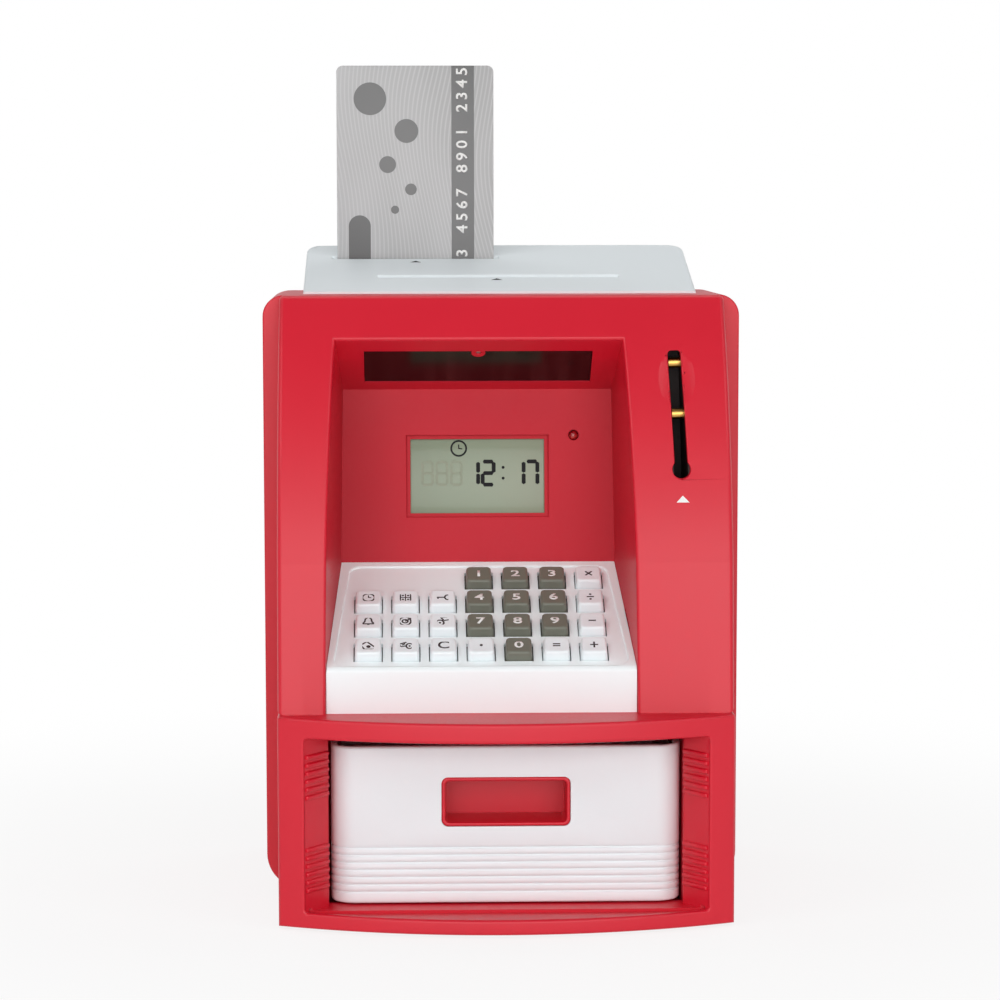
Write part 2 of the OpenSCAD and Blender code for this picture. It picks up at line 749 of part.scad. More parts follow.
module top_cap() color("whitesmoke") {
    inner = cap_t / cos(cap_slope);
    difference() {
        intersection() {
            along_x(cap_w) cap_side(0, body_h);
            along_z(body_h, body_h + 30) cap_plan(0);
        }
        intersection() {
            along_x(cap_w) cap_side(inner, body_h - 5);
            along_z(body_h - 1, body_h + 30) cap_plan(cap_t);
        }
        span(card_x - card_w / 2 - 1.6, card_x + card_w / 2 + 1.6,
             card_y - card_slot_t / 2, card_y + card_slot_t / 2, body_h, body_h + 30);
        span(-bill_w / 2, bill_w / 2, bill_y - bill_slot_t / 2, bill_y + bill_slot_t / 2,
             body_h - 1, body_h + 30);
    }
    // Lips that snap into the shell's opening
    intersection() {
        along_x(cap_w) cap_side(cap_t / 2, roof_z - 1);
        for (x = [hole_left + slip, hole_right - slip - cap_t])
            span(x, x + cap_t, ear_y1 + 0.5, hole_rear - 2, roof_z - 1, body_h + 30);
    }
}

// Places children at every key, given the key's number
module at_key(k) {
    row = k < 4 ? 3 : 2 - floor((k - 4) / 7);
    column = k < 4 ? k + 3 : (k - 4) % 7;
    on_deck() translate([(column - 3) * key_px, key_first + row * key_py, 0]) children();
}

// Corner points of a round corner between two angles
function corner(x, y, a0, a1) = [for (i = [0 : 6]) let (a = a0 + (a1 - a0) * i / 6)
    [x + recess_r * cos(a), y + recess_r * sin(a)]];

// Outline of the recess, whose sides run along the alcove's walls
module recess_plan() {
    low_x = alcove_half - deck_set * alcove_draft - recess_m - recess_r;
    high_x = alcove_half - screen_set * alcove_draft - recess_m - recess_r;
    low_y = recess_low + recess_r;
    high_y = recess_high - recess_r;
    lean = atan2(low_x - high_x, high_y - low_y);
    polygon(concat(corner(high_x, high_y, lean, 90), corner(-high_x, high_y, 90, 180 - lean),
                   corner(-low_x, low_y, 180 - lean, 270), corner(low_x, low_y, 270, 360 + lean)));
}

module keypad_deck() color("ghostwhite") {
    difference() {
        intersection() {
            along_x(front_w) difference() {
                polygon([[deck_y, surround_z], [deck_y, deck_z], [screen_y - slip, deck_back_z],
                         [screen_y - slip, surround_z]]);
                polygon([[deck_y + deck_t, surround_z - 1],
                         [deck_y + deck_t, deck_z - deck_t / cos(deck_tilt) + deck_t * tan(deck_tilt)],
                         [screen_y + 1, deck_back_z + (1 + slip) * tan(deck_tilt) - deck_t / cos(deck_tilt)],
                         [screen_y + 1, surround_z - 1]]);
            }
            along_z(surround_z, deck_back_z + 1) alcove_plan(-slip, screen_y + 5);
        }
        for (k = [0 : len(KEYS) - 1]) at_key(k)
            cube([key_base + 2 * key_gap, key_base + 2 * key_gap, 2 * deck_t + 2], center = true);
        // Shallow recess round the keys
        on_deck() translate([0, 0, -recess_t]) linear_extrude(recess_t + 1) recess_plan();
    }
    // Ledge and posts that carry the keypad board
    on_deck() {
        span(-pad_half, pad_half, deck_t * 0.6, pad_low + 0.6, pad_board_z, -deck_t + 0.2);
        for (x = pad_post_x()) difference() {
            translate([x, pad_post_s, pad_board_z]) cylinder(d = pad_post_d, h = -deck_t + eps - pad_board_z);
            translate([x, pad_post_s, pad_board_z - 1]) cylinder(d = 2, h = 4);
        }
    }
}

// A key: a tapered cap over a stem, and a flange under the deck that keeps it in
module key_cap(k, shade) color(shade) at_key(k) {
    difference() {
        union() {
            translate([0, 0, -deck_t - key_flange_t / 2])
                cube([key_flange, key_flange, key_flange_t], center = true);
            translate([0, 0, -deck_t - eps]) linear_extrude(deck_t + 1 + eps)
                round_rect(key_base, key_base, 1.4);
            translate([0, 0, 1]) linear_extrude(key_h - 1, scale = key_top / key_base)
                round_rect(key_base, key_base, 1.4, $fn = 24);
        }
        // Hollow underneath
        translate([0, 0, -deck_t - key_flange_t - 1])
            linear_extrude(deck_t + key_flange_t + 1 + key_h - 1.6) square(key_top - 2.4, center = true);
    }
}

module key_mat() color("lightgray") on_deck() {
    span(-pad_half, pad_half, pad_low + 0.8, pad_post_s - pad_post_d / 2 - 0.4,
         pad_board_z + seat, pad_board_z + mat_t);
    for (k = [0 : len(KEYS) - 1]) {
        row = k < 4 ? 3 : 2 - floor((k - 4) / 7);
        column = k < 4 ? k + 3 : (k - 4) % 7;
        translate([(column - 3) * key_px, key_first + row * key_py, pad_board_z + mat_t - eps])
            cylinder(d = 6, h = dome_h + eps);
    }
}

module keypad_board() color("seagreen") on_deck() difference() {
    span(-pad_half, pad_half, pad_low, pad_post_s + pad_post_d / 2, pad_board_z - board_t, pad_board_z);
    for (x = pad_post_x()) translate([x, pad_post_s, pad_board_z - board_t - 1])
        cylinder(d = 2.4, h = board_t + 2);
}

// Plate above the ceiling, with a pane that fills the opening
module bill_window() color("maroon") on_ceiling() difference() {
    union() {
        span(-window_w / 2 - window_rim, window_w / 2 + window_rim, window_in - window_rim,
             window_in + window_h + window_rim, wall + seat, wall + window_t);
        difference() {
            span(-window_w / 2 + slip, window_w / 2 - slip, window_in + slip,
                 window_in + window_h - slip, pane_in, wall + seat + eps);
            translate([0, window_screw_s, 0]) cylinder(d = lug_d + 2 * slip, h = wall + seat);
        }
    }
    translate([0, window_screw_s, wall - 1]) cylinder(d = lug_screw_d + 0.6, h = window_t + 2);
}

module lcd_panel() color("darkseagreen") on_screen()
    span(-lcd_w / 2, lcd_w / 2, wall, wall + glass_t, glass_up - lcd_h / 2, glass_up + lcd_h / 2);

module led() color("red") on_screen() {
    rod_y(led_x, 0.2, board_y, led_up, led_d);
    translate([led_x, 0.2, led_up]) sphere(d = led_d);
    rod_y(led_x, wall, wall + 1, led_up, led_d + 1);
}

module main_board() {
    color("darkgreen") on_screen() difference() {
        span(-board_w / 2, board_w / 2, board_y, board_y + board_t, board_low, board_low + board_h);
        for (p = post_spots()) rod_y(p[0], board_y - 1, board_y + board_t + 1, p[1], 2.4);
    }
    // Contact strips to the screen, potted chip, timing crystal and capacitor
    color("black") on_screen() {
        for (s = [-1, 1]) span(-lcd_w / 2 + 4, lcd_w / 2 - 4, wall + glass_t, board_y + eps,
            glass_up + s * (lcd_h / 2 - 2) - 1.2, glass_up + s * (lcd_h / 2 - 2) + 1.2);
        rod_y(-12, board_y + board_t - eps, board_y + board_t + 1.6, 26, 18);
        span(14, 18, board_y + board_t - eps, board_y + board_t + 3, 14, 24);
        rod_y(26, board_y + board_t - eps, board_y + board_t + 7, 34, 6.3);
    }
}

// Block behind the face with a channel for the coins, and the ramp below it
module coin_guide() color("dimgray") {
    half = guide_half;
    difference() {
        on_coin() intersection() {
            along_x(2 * half) face_profile(wall + slip, guide_back);
            span(-half, half, front_y, seam_y, guide_low_z, guide_top_z);
        }
        on_coin() intersection() {
            along_x(coin_w + 0.4) face_profile(wall - 1, guide_back - 2);
            span(-half, half, front_y, seam_y, guide_low_z - 1, coin_top_z + 0.4);
        }
    }
    // Arms to the side wall of the housing
    for (z = [guide_low_z + 4, coin_low_z - 6])
        span(coin_x + half - 1.4, front_half - wall, guide_back - 12, guide_back - 6, z, z + 3);
    // Ramp that turns the coins towards the drawer
    coin_ramp();
}

module coin_ramp() {
    x1 = front_half - wall - 2;
    along_y(foot_y + 11, seam_y - 9) polygon([[x1, guide_low_z + 8], [x1 - 1.6, guide_low_z + 8],
        [x1 - 1.6, guide_low_z - 6], [coin_x - 5.6, surround_z + 2], [coin_x - 4, surround_z + 2],
        [x1, guide_low_z - 6]]);
}

// Springy contacts for the coins, the card and the battery cells
module contacts() color("goldenrod") {
    on_coin() for (z = [coin_top_z - 4.25, coin_mid_z - 1.7]) {
        y0 = face_y - sqrt(pow(face_r - wall, 2) - pow(z - face_z, 2)) + 2.5;
        span(-1.6, coin_w / 2 + 0.2, y0, y0 + 6, z - 1.6, z + 1.6);
    }
    card_front = card_y - card_in_t / 2 - card_guide_t;
    for (sx = [-1, 1]) span(card_x + sx * 12 - 1.5, card_x + sx * 12 + 1.5, card_front - 0.4, card_front,
                            card_z, card_z + 9);
    for (sx = [-1, 1]) span(min(sx * box_in_w / 2, sx * (box_in_w / 2 - 0.5)),
        max(sx * box_in_w / 2, sx * (box_in_w / 2 - 0.5)),
        inner_rear - box_depth + 1, inner_rear - 3, box_z + 2, box_z + box_in_h - 2);
    for (i = [0 : cell_n - 1]) mirror([i % 2, 0, 0])
        translate([-box_in_w / 2 + 0.5 - eps, cell_y, box_z + (i + 0.5) * cell_pitch])
            rotate([0, 90, 0]) cylinder(d1 = 9, d2 = 6, h = (box_in_w - cell_l) / 2 - 0.5);
}

module bank_card() color("silver")
    translate([card_x, card_y, card_z + card_l / 2]) rotate([90, 0, 0])
        linear_extrude(card_t, center = true) round_rect(card_w, card_l, 2.2);

// Pocket under the card slot, hung from ears that lie on the shell's top
module card_guide() color("gainsboro") {
    x0 = card_x - card_in_w / 2;
    x1 = card_x + card_in_w / 2;
    y0 = card_y - card_in_t / 2;
    y1 = card_y + card_in_t / 2;
    top = body_h + 1.2;
    difference() {
        span(x0 - card_guide_t, x1 + card_guide_t, y0 - card_guide_t, y1 + card_guide_t, card_guide_z, top);
        span(x0, x1, y0, y1, card_guide_z + card_guide_t, top + 1);
    }
    span(x0 - card_guide_t, x1 + card_guide_t, y1 + card_guide_t - eps, hole_rear + 1.6, body_h, top);
}

// Plan of the drawer: round front corners, square rear corners
module drawer_plan(inset) {
    half = drawer_w / 2 - inset;
    r = max(1, drawer_r - inset);
    y0 = drawer_y + inset;
    translate([-half, y0 + r]) square([2 * half, drawer_d - 2 * inset - r]);
    translate([-half + r, y0]) square([2 * (half - r), r + 1]);
    for (sx = [-1, 1]) translate([sx * (half - r), y0 + r]) circle(r);
}

module drawer() color("white") {
    side_z = drawer_z + drawer_side_h;
    difference() {
        along_z(drawer_z, drawer_z + drawer_h) drawer_plan(0);
        along_z(drawer_z + drawer_t, drawer_z + drawer_h + 1) drawer_plan(drawer_t);
        span(-drawer_w, drawer_w, drawer_y + drawer_r + 4, drawer_back + 1, side_z, drawer_z + drawer_h + 1);
        // Grooves across the front
        for (i = [0 : groove_n - 1]) difference() {
            z = drawer_z + groove_low + i * groove_pitch;
            span(-drawer_w, drawer_w, drawer_y - 1, drawer_y + drawer_r + 1, z, z + 0.7);
            along_z(z - 1, z + 2) drawer_plan(0.4);
        }
        // Hole for the handle cup
        translate([0, 0, drawer_z + cup_up]) along_y(drawer_y - 1, drawer_y + drawer_t + 1)
            round_rect(cup_w, cup_h, 2.2);
    }
    // Striker that the latch tooth hooks behind
    strike_y = drawer_back + strike_reach;
    span(-4, 4, drawer_back - eps, strike_y + strike_t, strike_z - strike_t, strike_z);
    span(-4, 4, strike_y, strike_y + strike_t, strike_z - eps, strike_z + strike_h);
    // Tab that stops against the sill when the drawer is fully open
    span(-stop_half, stop_half, stop_y, stop_y + strike_t, floor_z + 0.8, drawer_z + eps);
}

module drawer_handle() color("crimson") translate([0, 0, drawer_z + cup_up]) difference() {
    union() {
        along_y(drawer_y + 0.1, drawer_y + cup_d) round_rect(cup_w - 0.2, cup_h - 0.2, 2.1);
        along_y(drawer_y + drawer_t, drawer_y + drawer_t + 1.4)
            round_rect(cup_w + cup_flange, cup_h + cup_flange, 3);
    }
    along_y(drawer_y - 1, drawer_y + cup_d - cup_t)
        round_rect(cup_w - 0.2 - 2 * cup_t, cup_h - 0.2 - 2 * cup_t, 1.4);
}

// Side plates, bill guides and ears of the bill feed
module feed_frame() color("lightslategray") {
    low = nip_z + max(feed_d, idler_d) / 2 + 1.5;
    difference() {
        union() {
            span(-plate_x - plate_t, -plate_x, bill_y - 11, bill_y + 13, plate_low, roof_z);
            span(plate_x, plate_x + plate_t, bill_y - 11, motor_y + motor_d / 2 + 1, plate_low, roof_z);
            span(hole_left - ear_reach, -plate_x, ear_y0, ear_y1, roof_z - plate_t, roof_z);
            span(plate_x, hole_right + ear_reach, ear_y0, ear_y1, roof_z - plate_t, roof_z);
            for (y = [bill_y - 3, bill_y + 1.5])
                span(-plate_x - eps, plate_x + eps, y, y + 1.5, low, roof_z - 4);
        }
        rod_x(-plate_x - plate_t - 1, plate_x + plate_t + 1, feed_y, nip_z, bearing_d);
        rod_x(-plate_x - plate_t - 1, plate_x + plate_t + 1, idler_y, nip_z, bearing_d);
        rod_x(plate_x - 1, plate_x + plate_t + 1, motor_y, nip_z, 6.4);
    }
}

module feed_motor() color("silver") {
    intersection() {
        rod_x(plate_x - motor_l, plate_x, motor_y, nip_z, motor_d);
        span(0, plate_x, motor_y - motor_d, motor_y + motor_d,
             nip_z - motor_d * 0.38, nip_z + motor_d * 0.38);
    }
    rod_x(plate_x - eps, plate_x + 1.4, motor_y, nip_z, 6);
}

// Involute tooth flank at a radius, as an angle from the tooth's middle
function inv(a) = tan(a) * 180 / PI - a;
function flank(n, m, r, thin) =
    let (base = n * m * cos(20) / 2, a = acos(min(1, base / r)))
    90 / n - thin + inv(20) - inv(a);
function tooth(n, m, thin) =
    let (base = n * m * cos(20) / 2, tip = n * m / 2 + m * 0.9, steps = 5)
    [for (i = [0 : steps]) let (r = base + (tip - base) * i / steps) [r, flank(n, m, r, thin)]];

// A spur gear turned by an angle, with its teeth thinned for backlash
module spur(n, m, t, bore, turn) {
    thin = 3 * 10 / n;
    root = n * m / 2 - m * 1.25;
    half = tooth(n, m, thin);
    rotate([0, 90, 0]) linear_extrude(t) rotate(turn) difference() {
        union() {
            circle(root + 0.05, $fn = 4 * n);
            for (k = [0 : n - 1]) rotate(k * 360 / n)
                polygon(concat([[root * cos(half[0][1]) - 0.3, -root * sin(half[0][1])]],
                    [for (p = half) p[0] * [cos(p[1]), -sin(p[1])]],
                    [for (i = [len(half) - 1 : -1 : 0]) half[i][0] * [cos(half[i][1]), sin(half[i][1])]],
                    [[root * cos(half[0][1]) - 0.3, root * sin(half[0][1])]]));
        }
        circle(d = bore);
    }
}

module motor_pinion() color("ivory") {
    translate([gear_x, motor_y, nip_z]) spur(pinion_n, gear_m, gear_t, 2, -90);
    rod_x(plate_x + 1.6, gear_x + gear_t, motor_y, nip_z, 2);
}

module roller_gear() color("ivory")
    translate([gear_x, feed_y, nip_z]) spur(gear_n, gear_m, gear_t, shaft_d + 2 * seat, 90 + 180 / gear_n);

module feed_shaft() color("silver")
    rod_x(-plate_x - plate_t - 2, gear_x + gear_t + 1, feed_y, nip_z, shaft_d);

module feed_rollers() color("darkslategray")
    for (sx = [-1, 1]) difference() {
        rod_x(sx * roller_x - roller_w / 2, sx * roller_x + roller_w / 2, feed_y, nip_z, feed_d);
        rod_x(sx * roller_x - roller_w, sx * roller_x + roller_w, feed_y, nip_z, shaft_d);
    }

module idler_rollers() color("gray") {
    for (sx = [-1, 1])
        rod_x(sx * roller_x - roller_w / 2, sx * roller_x + roller_w / 2, idler_y, nip_z, idler_d);
    rod_x(-plate_x - plate_t - 2, plate_x + plate_t + 1, idler_y, nip_z, shaft_d);
}

module bill_chute() color("gainsboro") {
    top = nip_z - max(feed_d, idler_d) / 2 - 1.5;
    difference() {
        span(-plate_x, plate_x, bill_y - chute_gap / 2 - chute_t, bill_y + chute_gap / 2 + chute_t,
             chute_low, top);
        span(-plate_x + chute_t, plate_x - chute_t, bill_y - chute_gap / 2, bill_y + chute_gap / 2,
             chute_low - 1, top + 1);
    }
}

module latch_bracket() color("lightslategray") {
    outer = latch_half + 1.8;
    difference() {
        union() {
            for (sx = [-1, 1]) span(min(sx * latch_half, sx * outer), max(sx * latch_half, sx * outer),
                latch_y - 3, inner_rear, latch_z - 4, shelf_z);
            span(-outer, outer, coil_y - 8, inner_rear, shelf_z - eps, shelf_z + 2);
        }
        rod_x(-outer - 1, outer + 1, latch_y, latch_z, latch_pin_d + 2 * bearing_gap);
        rod_z(0, coil_y, shelf_z - 1, shelf_z + 3, core_d + 0.4);
    }
}

// A rod along Z between two ends
module rod_z(x, y, z0, z1, d) {
    translate([x, y, z0]) cylinder(d = d, h = z1 - z0);
}

// Lever raised clear of the striker, whose tooth hooks in front of it when the lever drops
module latch_lever() color("silver") {
    half = latch_half - 0.4;
    translate([0, latch_y, latch_z]) rotate([-latch_swing, 0, 0]) {
        span(-half, half, -tooth_reach, 2.4, -lever_t / 2, lever_t / 2);
        span(-half, half, -tooth_reach, -tooth_reach + tooth_t,
             strike_z + strike_gap - latch_z, eps - lever_t / 2);
        rod_x(-latch_half - 1.6, latch_half + 1.6, 0, 0, latch_pin_d);
    }
}

module latch_coil() color("saddlebrown") {
    rod_z(0, coil_y, shelf_z + 2, shelf_z + 20, 13);
    rod_z(0, coil_y, core_z, shelf_z + 2 + eps, core_d);
}

// Helix of wire along Y, as one unbroken tube
module spring_wire_tube(r, wire, turns, length) {
    per = 12;
    rings = turns * per;
    sides = 6;
    points = [for (i = [0 : rings]) let (a = i * 360 / per, y = wire / 2 + (length - wire) * i / rings)
        for (j = [0 : sides - 1]) let (b = j * 360 / sides, q = r + wire / 2 * cos(b))
            [q * cos(a), y + wire / 2 * sin(b), q * sin(a)]];
    sidewalls = [for (i = [0 : rings - 1], j = [0 : sides - 1])
        let (p = i * sides + j, q = i * sides + (j + 1) % sides)
        for (f = [[p, q, q + sides], [p, q + sides, p + sides]]) f];
    last = rings * sides;
    caps = concat([for (j = [1 : sides - 2]) [0, j + 1, j]],
        [for (j = [1 : sides - 2]) [last, last + j, last + j + 1]]);
    polyhedron(points, concat(sidewalls, caps));
}

module eject_springs() color("gray")
    for (sx = [-1, 1]) translate([sx * spring_x, drawer_back + 0.1, drawer_z + drawer_side_h / 2])
        spring_wire_tube((spring_d - spring_wire) / 2, spring_wire, spring_turns,
                         inner_rear - 0.2 - drawer_back);

// Tub for the cells, with a flange against the rear wall
module battery_box() color("dimgray") {
    half = box_in_w / 2;
    difference() {
        union() {
            span(-half - box_t, half + box_t, inner_rear - box_depth - box_t, inner_rear,
                 box_z - box_t, box_top);
            span(-door_half - 6, door_half + 6, inner_rear - 1.4, inner_rear, door_z + 6, door_top + 4);
            rod_y(0, inner_rear - door_screw_l - 2, inner_rear, door_screw_z, door_bore_d + 3.4);
        }
        span(-half, half, inner_rear - box_depth, inner_rear + 1, box_z, box_top - box_t);
        rod_y(0, inner_rear - door_screw_l - 3, inner_rear + 1, door_screw_z, door_bore_d);
    }
}

module batteries() color("royalblue")
    for (i = [0 : cell_n - 1]) mirror([i % 2, 0, 0])
        translate([-cell_l / 2, cell_y, box_z + (i + 0.5) * cell_pitch]) {
            rotate([0, 90, 0]) cylinder(d = cell_d, h = cell_l - 1.2);
            rotate([0, 90, 0]) cylinder(d = 5.2, h = cell_l);
        }

module battery_door() color("firebrick") {
    difference() {
        union() {
            span(-door_half, door_half, inner_rear, rear_y, door_z, door_top);
            rod_x(-door_half, door_half, inner_rear, door_z, 2 * knuckle_r);
        }
        rod_y(0, inner_rear - 1, rear_y + 1, door_screw_z, screw_d + 0.3);
        rod_y(0, rear_y - 1, rear_y + 1, door_screw_z, head_d + 0.4);
    }
    rod_x(-door_half - 3, door_half + 3, inner_rear, door_z, pin_d);
    // Captive screw
    translate([0, rear_y - 1, door_screw_z]) {
        rotate([90, 0, 0]) cylinder(d = screw_d, h = door_screw_l);
        rotate([-90, 0, 0]) cylinder(d = head_d, h = 1);
    }
}

module rubber_feet() color("dimgray")
    for (sx = [-1, 1], y = [foot_y0, foot_y1]) rod_z(sx * foot_x, y, 0, foot_h, foot_d);

module sounder() color("goldenrod") {
    rod_y(sounder_x, inner_rear - 0.6, inner_rear, sounder_z, sounder_d);
    rod_y(sounder_x, inner_rear - 4, inner_rear - 0.6 + eps, sounder_z, sounder_d - 4);
}

// A pan head screw that points along -Y, with its head's seat at the origin
module case_screw(l) {
    rotate([90, 0, 0]) cylinder(d = screw_d, h = l);
    difference() {
        rotate([-90, 0, 0]) cylinder(d = head_d, h = 2);
        for (a = [0, 90]) rotate([0, a, 0]) translate([0, 2, 0])
            cube([head_d * 0.7, 1.6, 0.8], center = true);
    }
}

// Case screws, board screws, the window's screw and the rubber feet's places
module fasteners() {
    color("silver") for (p = screw_spots()) translate([p[0], seam_y + screw_seat, p[1]]) case_screw(screw_l);
    color("silver") on_screen() for (p = post_spots()) {
        rod_y(p[0], board_y - 4, board_y + board_t + eps, p[1], 1.9);
        rod_y(p[0], board_y + board_t, board_y + board_t + 1.4, p[1], 4);
    }
    color("silver") on_deck() for (x = pad_post_x()) {
        translate([x, pad_post_s, pad_board_z - board_t - 1.2]) cylinder(d = 4, h = 1.2);
        translate([x, pad_post_s, pad_board_z - board_t - eps]) cylinder(d = 1.9, h = board_t + 2.6);
    }
    color("silver") on_ceiling() translate([0, window_screw_s, 0]) {
        translate([0, 0, wall + window_t]) cylinder(d = 3.6, h = 1);
        translate([0, 0, 0.4]) cylinder(d = lug_screw_d, h = wall + window_t);
    }
}

front_housing();
drawer_surround();
rear_shell();
top_cap();
keypad_deck();
bill_window();
lcd_panel();
led();
main_board();
keypad_board();
key_mat();
coin_guide();
contacts();
bank_card();
card_guide();
drawer();
drawer_handle();
feed_frame();
feed_motor();
motor_pinion();
roller_gear();
feed_shaft();
feed_rollers();
idler_rollers();
bill_chute();
latch_bracket();
latch_lever();
latch_coil();
eject_springs();
battery_box();
batteries();
battery_door();
sounder();
rubber_feet();
fasteners();
for (k = [0 : len(KEYS) - 1])
    key_cap(k, len(search(k, FIGURES)) > 0 ? "dimgray" : "whitesmoke");
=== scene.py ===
import math

import bmesh
import bpy
from mathutils import Matrix, Vector


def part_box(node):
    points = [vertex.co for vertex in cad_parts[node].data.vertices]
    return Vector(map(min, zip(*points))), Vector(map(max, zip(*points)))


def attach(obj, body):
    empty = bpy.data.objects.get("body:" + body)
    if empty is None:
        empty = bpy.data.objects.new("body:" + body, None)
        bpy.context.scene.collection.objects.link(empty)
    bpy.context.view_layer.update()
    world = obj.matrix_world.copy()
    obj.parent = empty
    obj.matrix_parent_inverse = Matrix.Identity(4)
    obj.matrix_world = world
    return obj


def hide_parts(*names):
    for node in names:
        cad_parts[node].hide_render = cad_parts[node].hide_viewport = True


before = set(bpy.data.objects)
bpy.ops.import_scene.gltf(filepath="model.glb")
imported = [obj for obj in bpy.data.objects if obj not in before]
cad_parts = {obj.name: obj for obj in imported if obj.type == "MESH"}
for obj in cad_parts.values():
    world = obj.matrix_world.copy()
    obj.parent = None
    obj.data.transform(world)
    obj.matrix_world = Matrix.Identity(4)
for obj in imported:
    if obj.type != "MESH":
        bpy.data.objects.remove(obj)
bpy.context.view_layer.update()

bl_info = {
    "name": "Cash Machine Bank",
    "version": (1, 0, 0),
    "blender": (4, 5, 0),
    "location": "View3D > Sidebar > Bank",
    "description": "Dresses a toy cash machine bank in moulded plastic, print and metal",
    "category": "Object",
}

MM = 0.001
# Places on the bank, in millimetres, and its slopes
CENTRE_X = -7.8
SCREEN_TILT = math.radians(9)
SCREEN_FOOT = Vector((CENTRE_X, -1.0, 111.4))
# From the foot of the leaning screen wall up to the middle of its panel
SCREEN_UP = 28.5
DECK_TILT = math.radians(29.069)
DECK_EDGE = Vector((CENTRE_X, -51.7, 83.1))
# The front face stands flat from its foot to the crease and bends back above it
FOOT_Y, FOOT_Z = -54.0, 68.7
CREASE_Y, CREASE_Z = -48.5, 116.5
FACE_RADIUS = 186.3
FACE_MIDDLE_Y, FACE_MIDDLE_Z = 133.74, 77.77
FACE_SLOPE = 0.39
SLOT_X = 56.2
CAP_Y, CAP_Z = 14.0, 200.4
CAP_TILT = math.radians(13)
ROOF_FALL = 0.022
CARD_X, CARD_Z = -27.9, 233.2
# From the card's middle to its dark band
BAND_X = 16.4
# Keys: spacing across and along the deck, first row's distance from its edge, foot's width
KEY_PITCH = (12.1, 12.9)
KEY_ROW = 9.2
KEY_FOOT = 8.9
KEY_SUNK = 2.0
KEY_ORDER = [
    "key_1", "key_2", "key_3", "key_times",
    "key_clock", "key_sums", "key_code", "key_4", "key_5", "key_6", "key_divide",
    "key_alarm", "key_target", "key_balance", "key_7", "key_8", "key_9", "key_minus",
    "key_deposit", "key_withdraw", "key_clear", "key_point", "key_0", "key_equals", "key_plus",
]
FIGURE_KEYS = {"key_%d" % n for n in range(10)}
# Plastic and ink of a key, and the slot of its print
FIGURE_LOOK = ("grey_key", "white_ink", "white_key")
SIGN_LOOK = ("white_key", "dark_ink", "grey_key")
SCREEN_FIGURES = {"1": "bc", "2": "abged", "7": "abc", "8": "abcdefg"}
# Name, place and size in metres, and power of each studio lamp
LAMPS = (
    ("front_box", (0.0, -2.6, 0.65), (2.8, 1.4), 35.0),
    ("left_box", (-1.5, -1.2, 1.9), (1.2, 1.2), 13.0),
    ("right_box", (1.5, -1.2, 1.9), (1.2, 1.2), 10.0),
    ("top_box", (0.0, -1.9, 1.5), (2.4, 0.6), 4.0),
    ("rear_box", (0.0, 1.0, 2.0), (4.4, 1.2), 22.0),
)
AIM = Vector((0, 0, 0.13))
CAMERA_PLACE = (-0.03408, -1.14998, 0.25254)
CAMERA_TURN = (math.radians(90 - 6.71), math.radians(0.05), math.radians(-1.71))
# Every material, once it is made
MADE = {}


def linear(red, green, blue):
    """Turns a colour as a screen shows it, 0 to 255, into the shader's own scale."""
    out = []
    for v in (red, green, blue):
        v /= 255
        out.append(v / 12.92 if v <= 0.04045 else ((v + 0.055) / 1.055) ** 2.4)
    return tuple(out)


def shade(colour, factor):
    """A colour made lighter or darker."""
    return tuple(min(1.0, c * factor) for c in colour[:3])


# Modelling helpers. Places and sizes are in millimetres.


def deselect():
    if bpy.context.mode != "OBJECT":
        bpy.ops.object.mode_set(mode="OBJECT")
    bpy.ops.object.select_all(action="DESELECT")


def pick(*pieces):
    deselect()
    for piece in pieces:
        piece.select_set(True)
    bpy.context.view_layer.objects.active = pieces[0]


def settle(piece):
    """Puts a piece's place, turn and scale into its mesh."""
    pick(piece)
    bpy.ops.object.transform_apply(location=True, rotation=True, scale=True)
    return piece


def modify(piece, kind, **settings):
    """Adds a modifier and applies it."""
    pick(piece)
    bpy.ops.object.modifier_add(type=kind)
    modifier = piece.modifiers[-1]
    for key, value in settings.items():
        setattr(modifier, key, value)
    bpy.ops.object.modifier_apply(modifier=modifier.name)
    return piece


def smooth(piece, angle=35):
    pick(piece)
    bpy.ops.object.shade_smooth_by_angle(angle=math.radians(angle))
    return piece


def even(piece):
    """Smooth shading in which the large flat faces keep their own direction."""
    smooth(piece)
    return modify(piece, "WEIGHTED_NORMAL", mode="FACE_AREA", weight=100, keep_sharp=True)


def turned_outwards(piece):
    pick(piece)
    bpy.ops.object.mode_set(mode="EDIT")
    bpy.ops.mesh.select_all(action="SELECT")
    bpy.ops.mesh.normals_make_consistent(inside=False)
    bpy.ops.object.mode_set(mode="OBJECT")
    return piece


def edit(piece, kind, test):
    """Goes into edit mode with the faces or edges that pass a test selected, and says how many."""
    pick(piece)
    bpy.ops.object.mode_set(mode="EDIT")
    bpy.ops.mesh.select_mode(type=kind)
    bpy.ops.mesh.select_all(action="DESELECT")
    mesh = bmesh.from_edit_mesh(piece.data)
    mesh.normal_update()
    count = 0
    for item in mesh.faces if kind == "FACE" else mesh.edges:
        if test(item):
            item.select_set(True)
            count += 1
    bmesh.update_edit_mesh(piece.data)
    return count


def middle(edge):
    return (edge.verts[0].co + edge.verts[1].co) / (2 * MM)


def sharp(edge, limit=24):
    return len(edge.link_faces) == 2 and edge.calc_face_angle(0) > math.radians(limit)


def round_edges(piece, width, test, segments=3, limit=24):
    """Rounds the sharp edges whose middle passes a test."""
    count = edit(piece, "EDGE", lambda e: sharp(e, limit) and test(middle(e)))
    if count:
        bpy.ops.mesh.bevel(offset=width * MM, segments=segments, profile=0.5, affect="EDGES",
                           clamp_overlap=False, miter_outer="ARC")
    bpy.ops.object.mode_set(mode="OBJECT")
    return piece


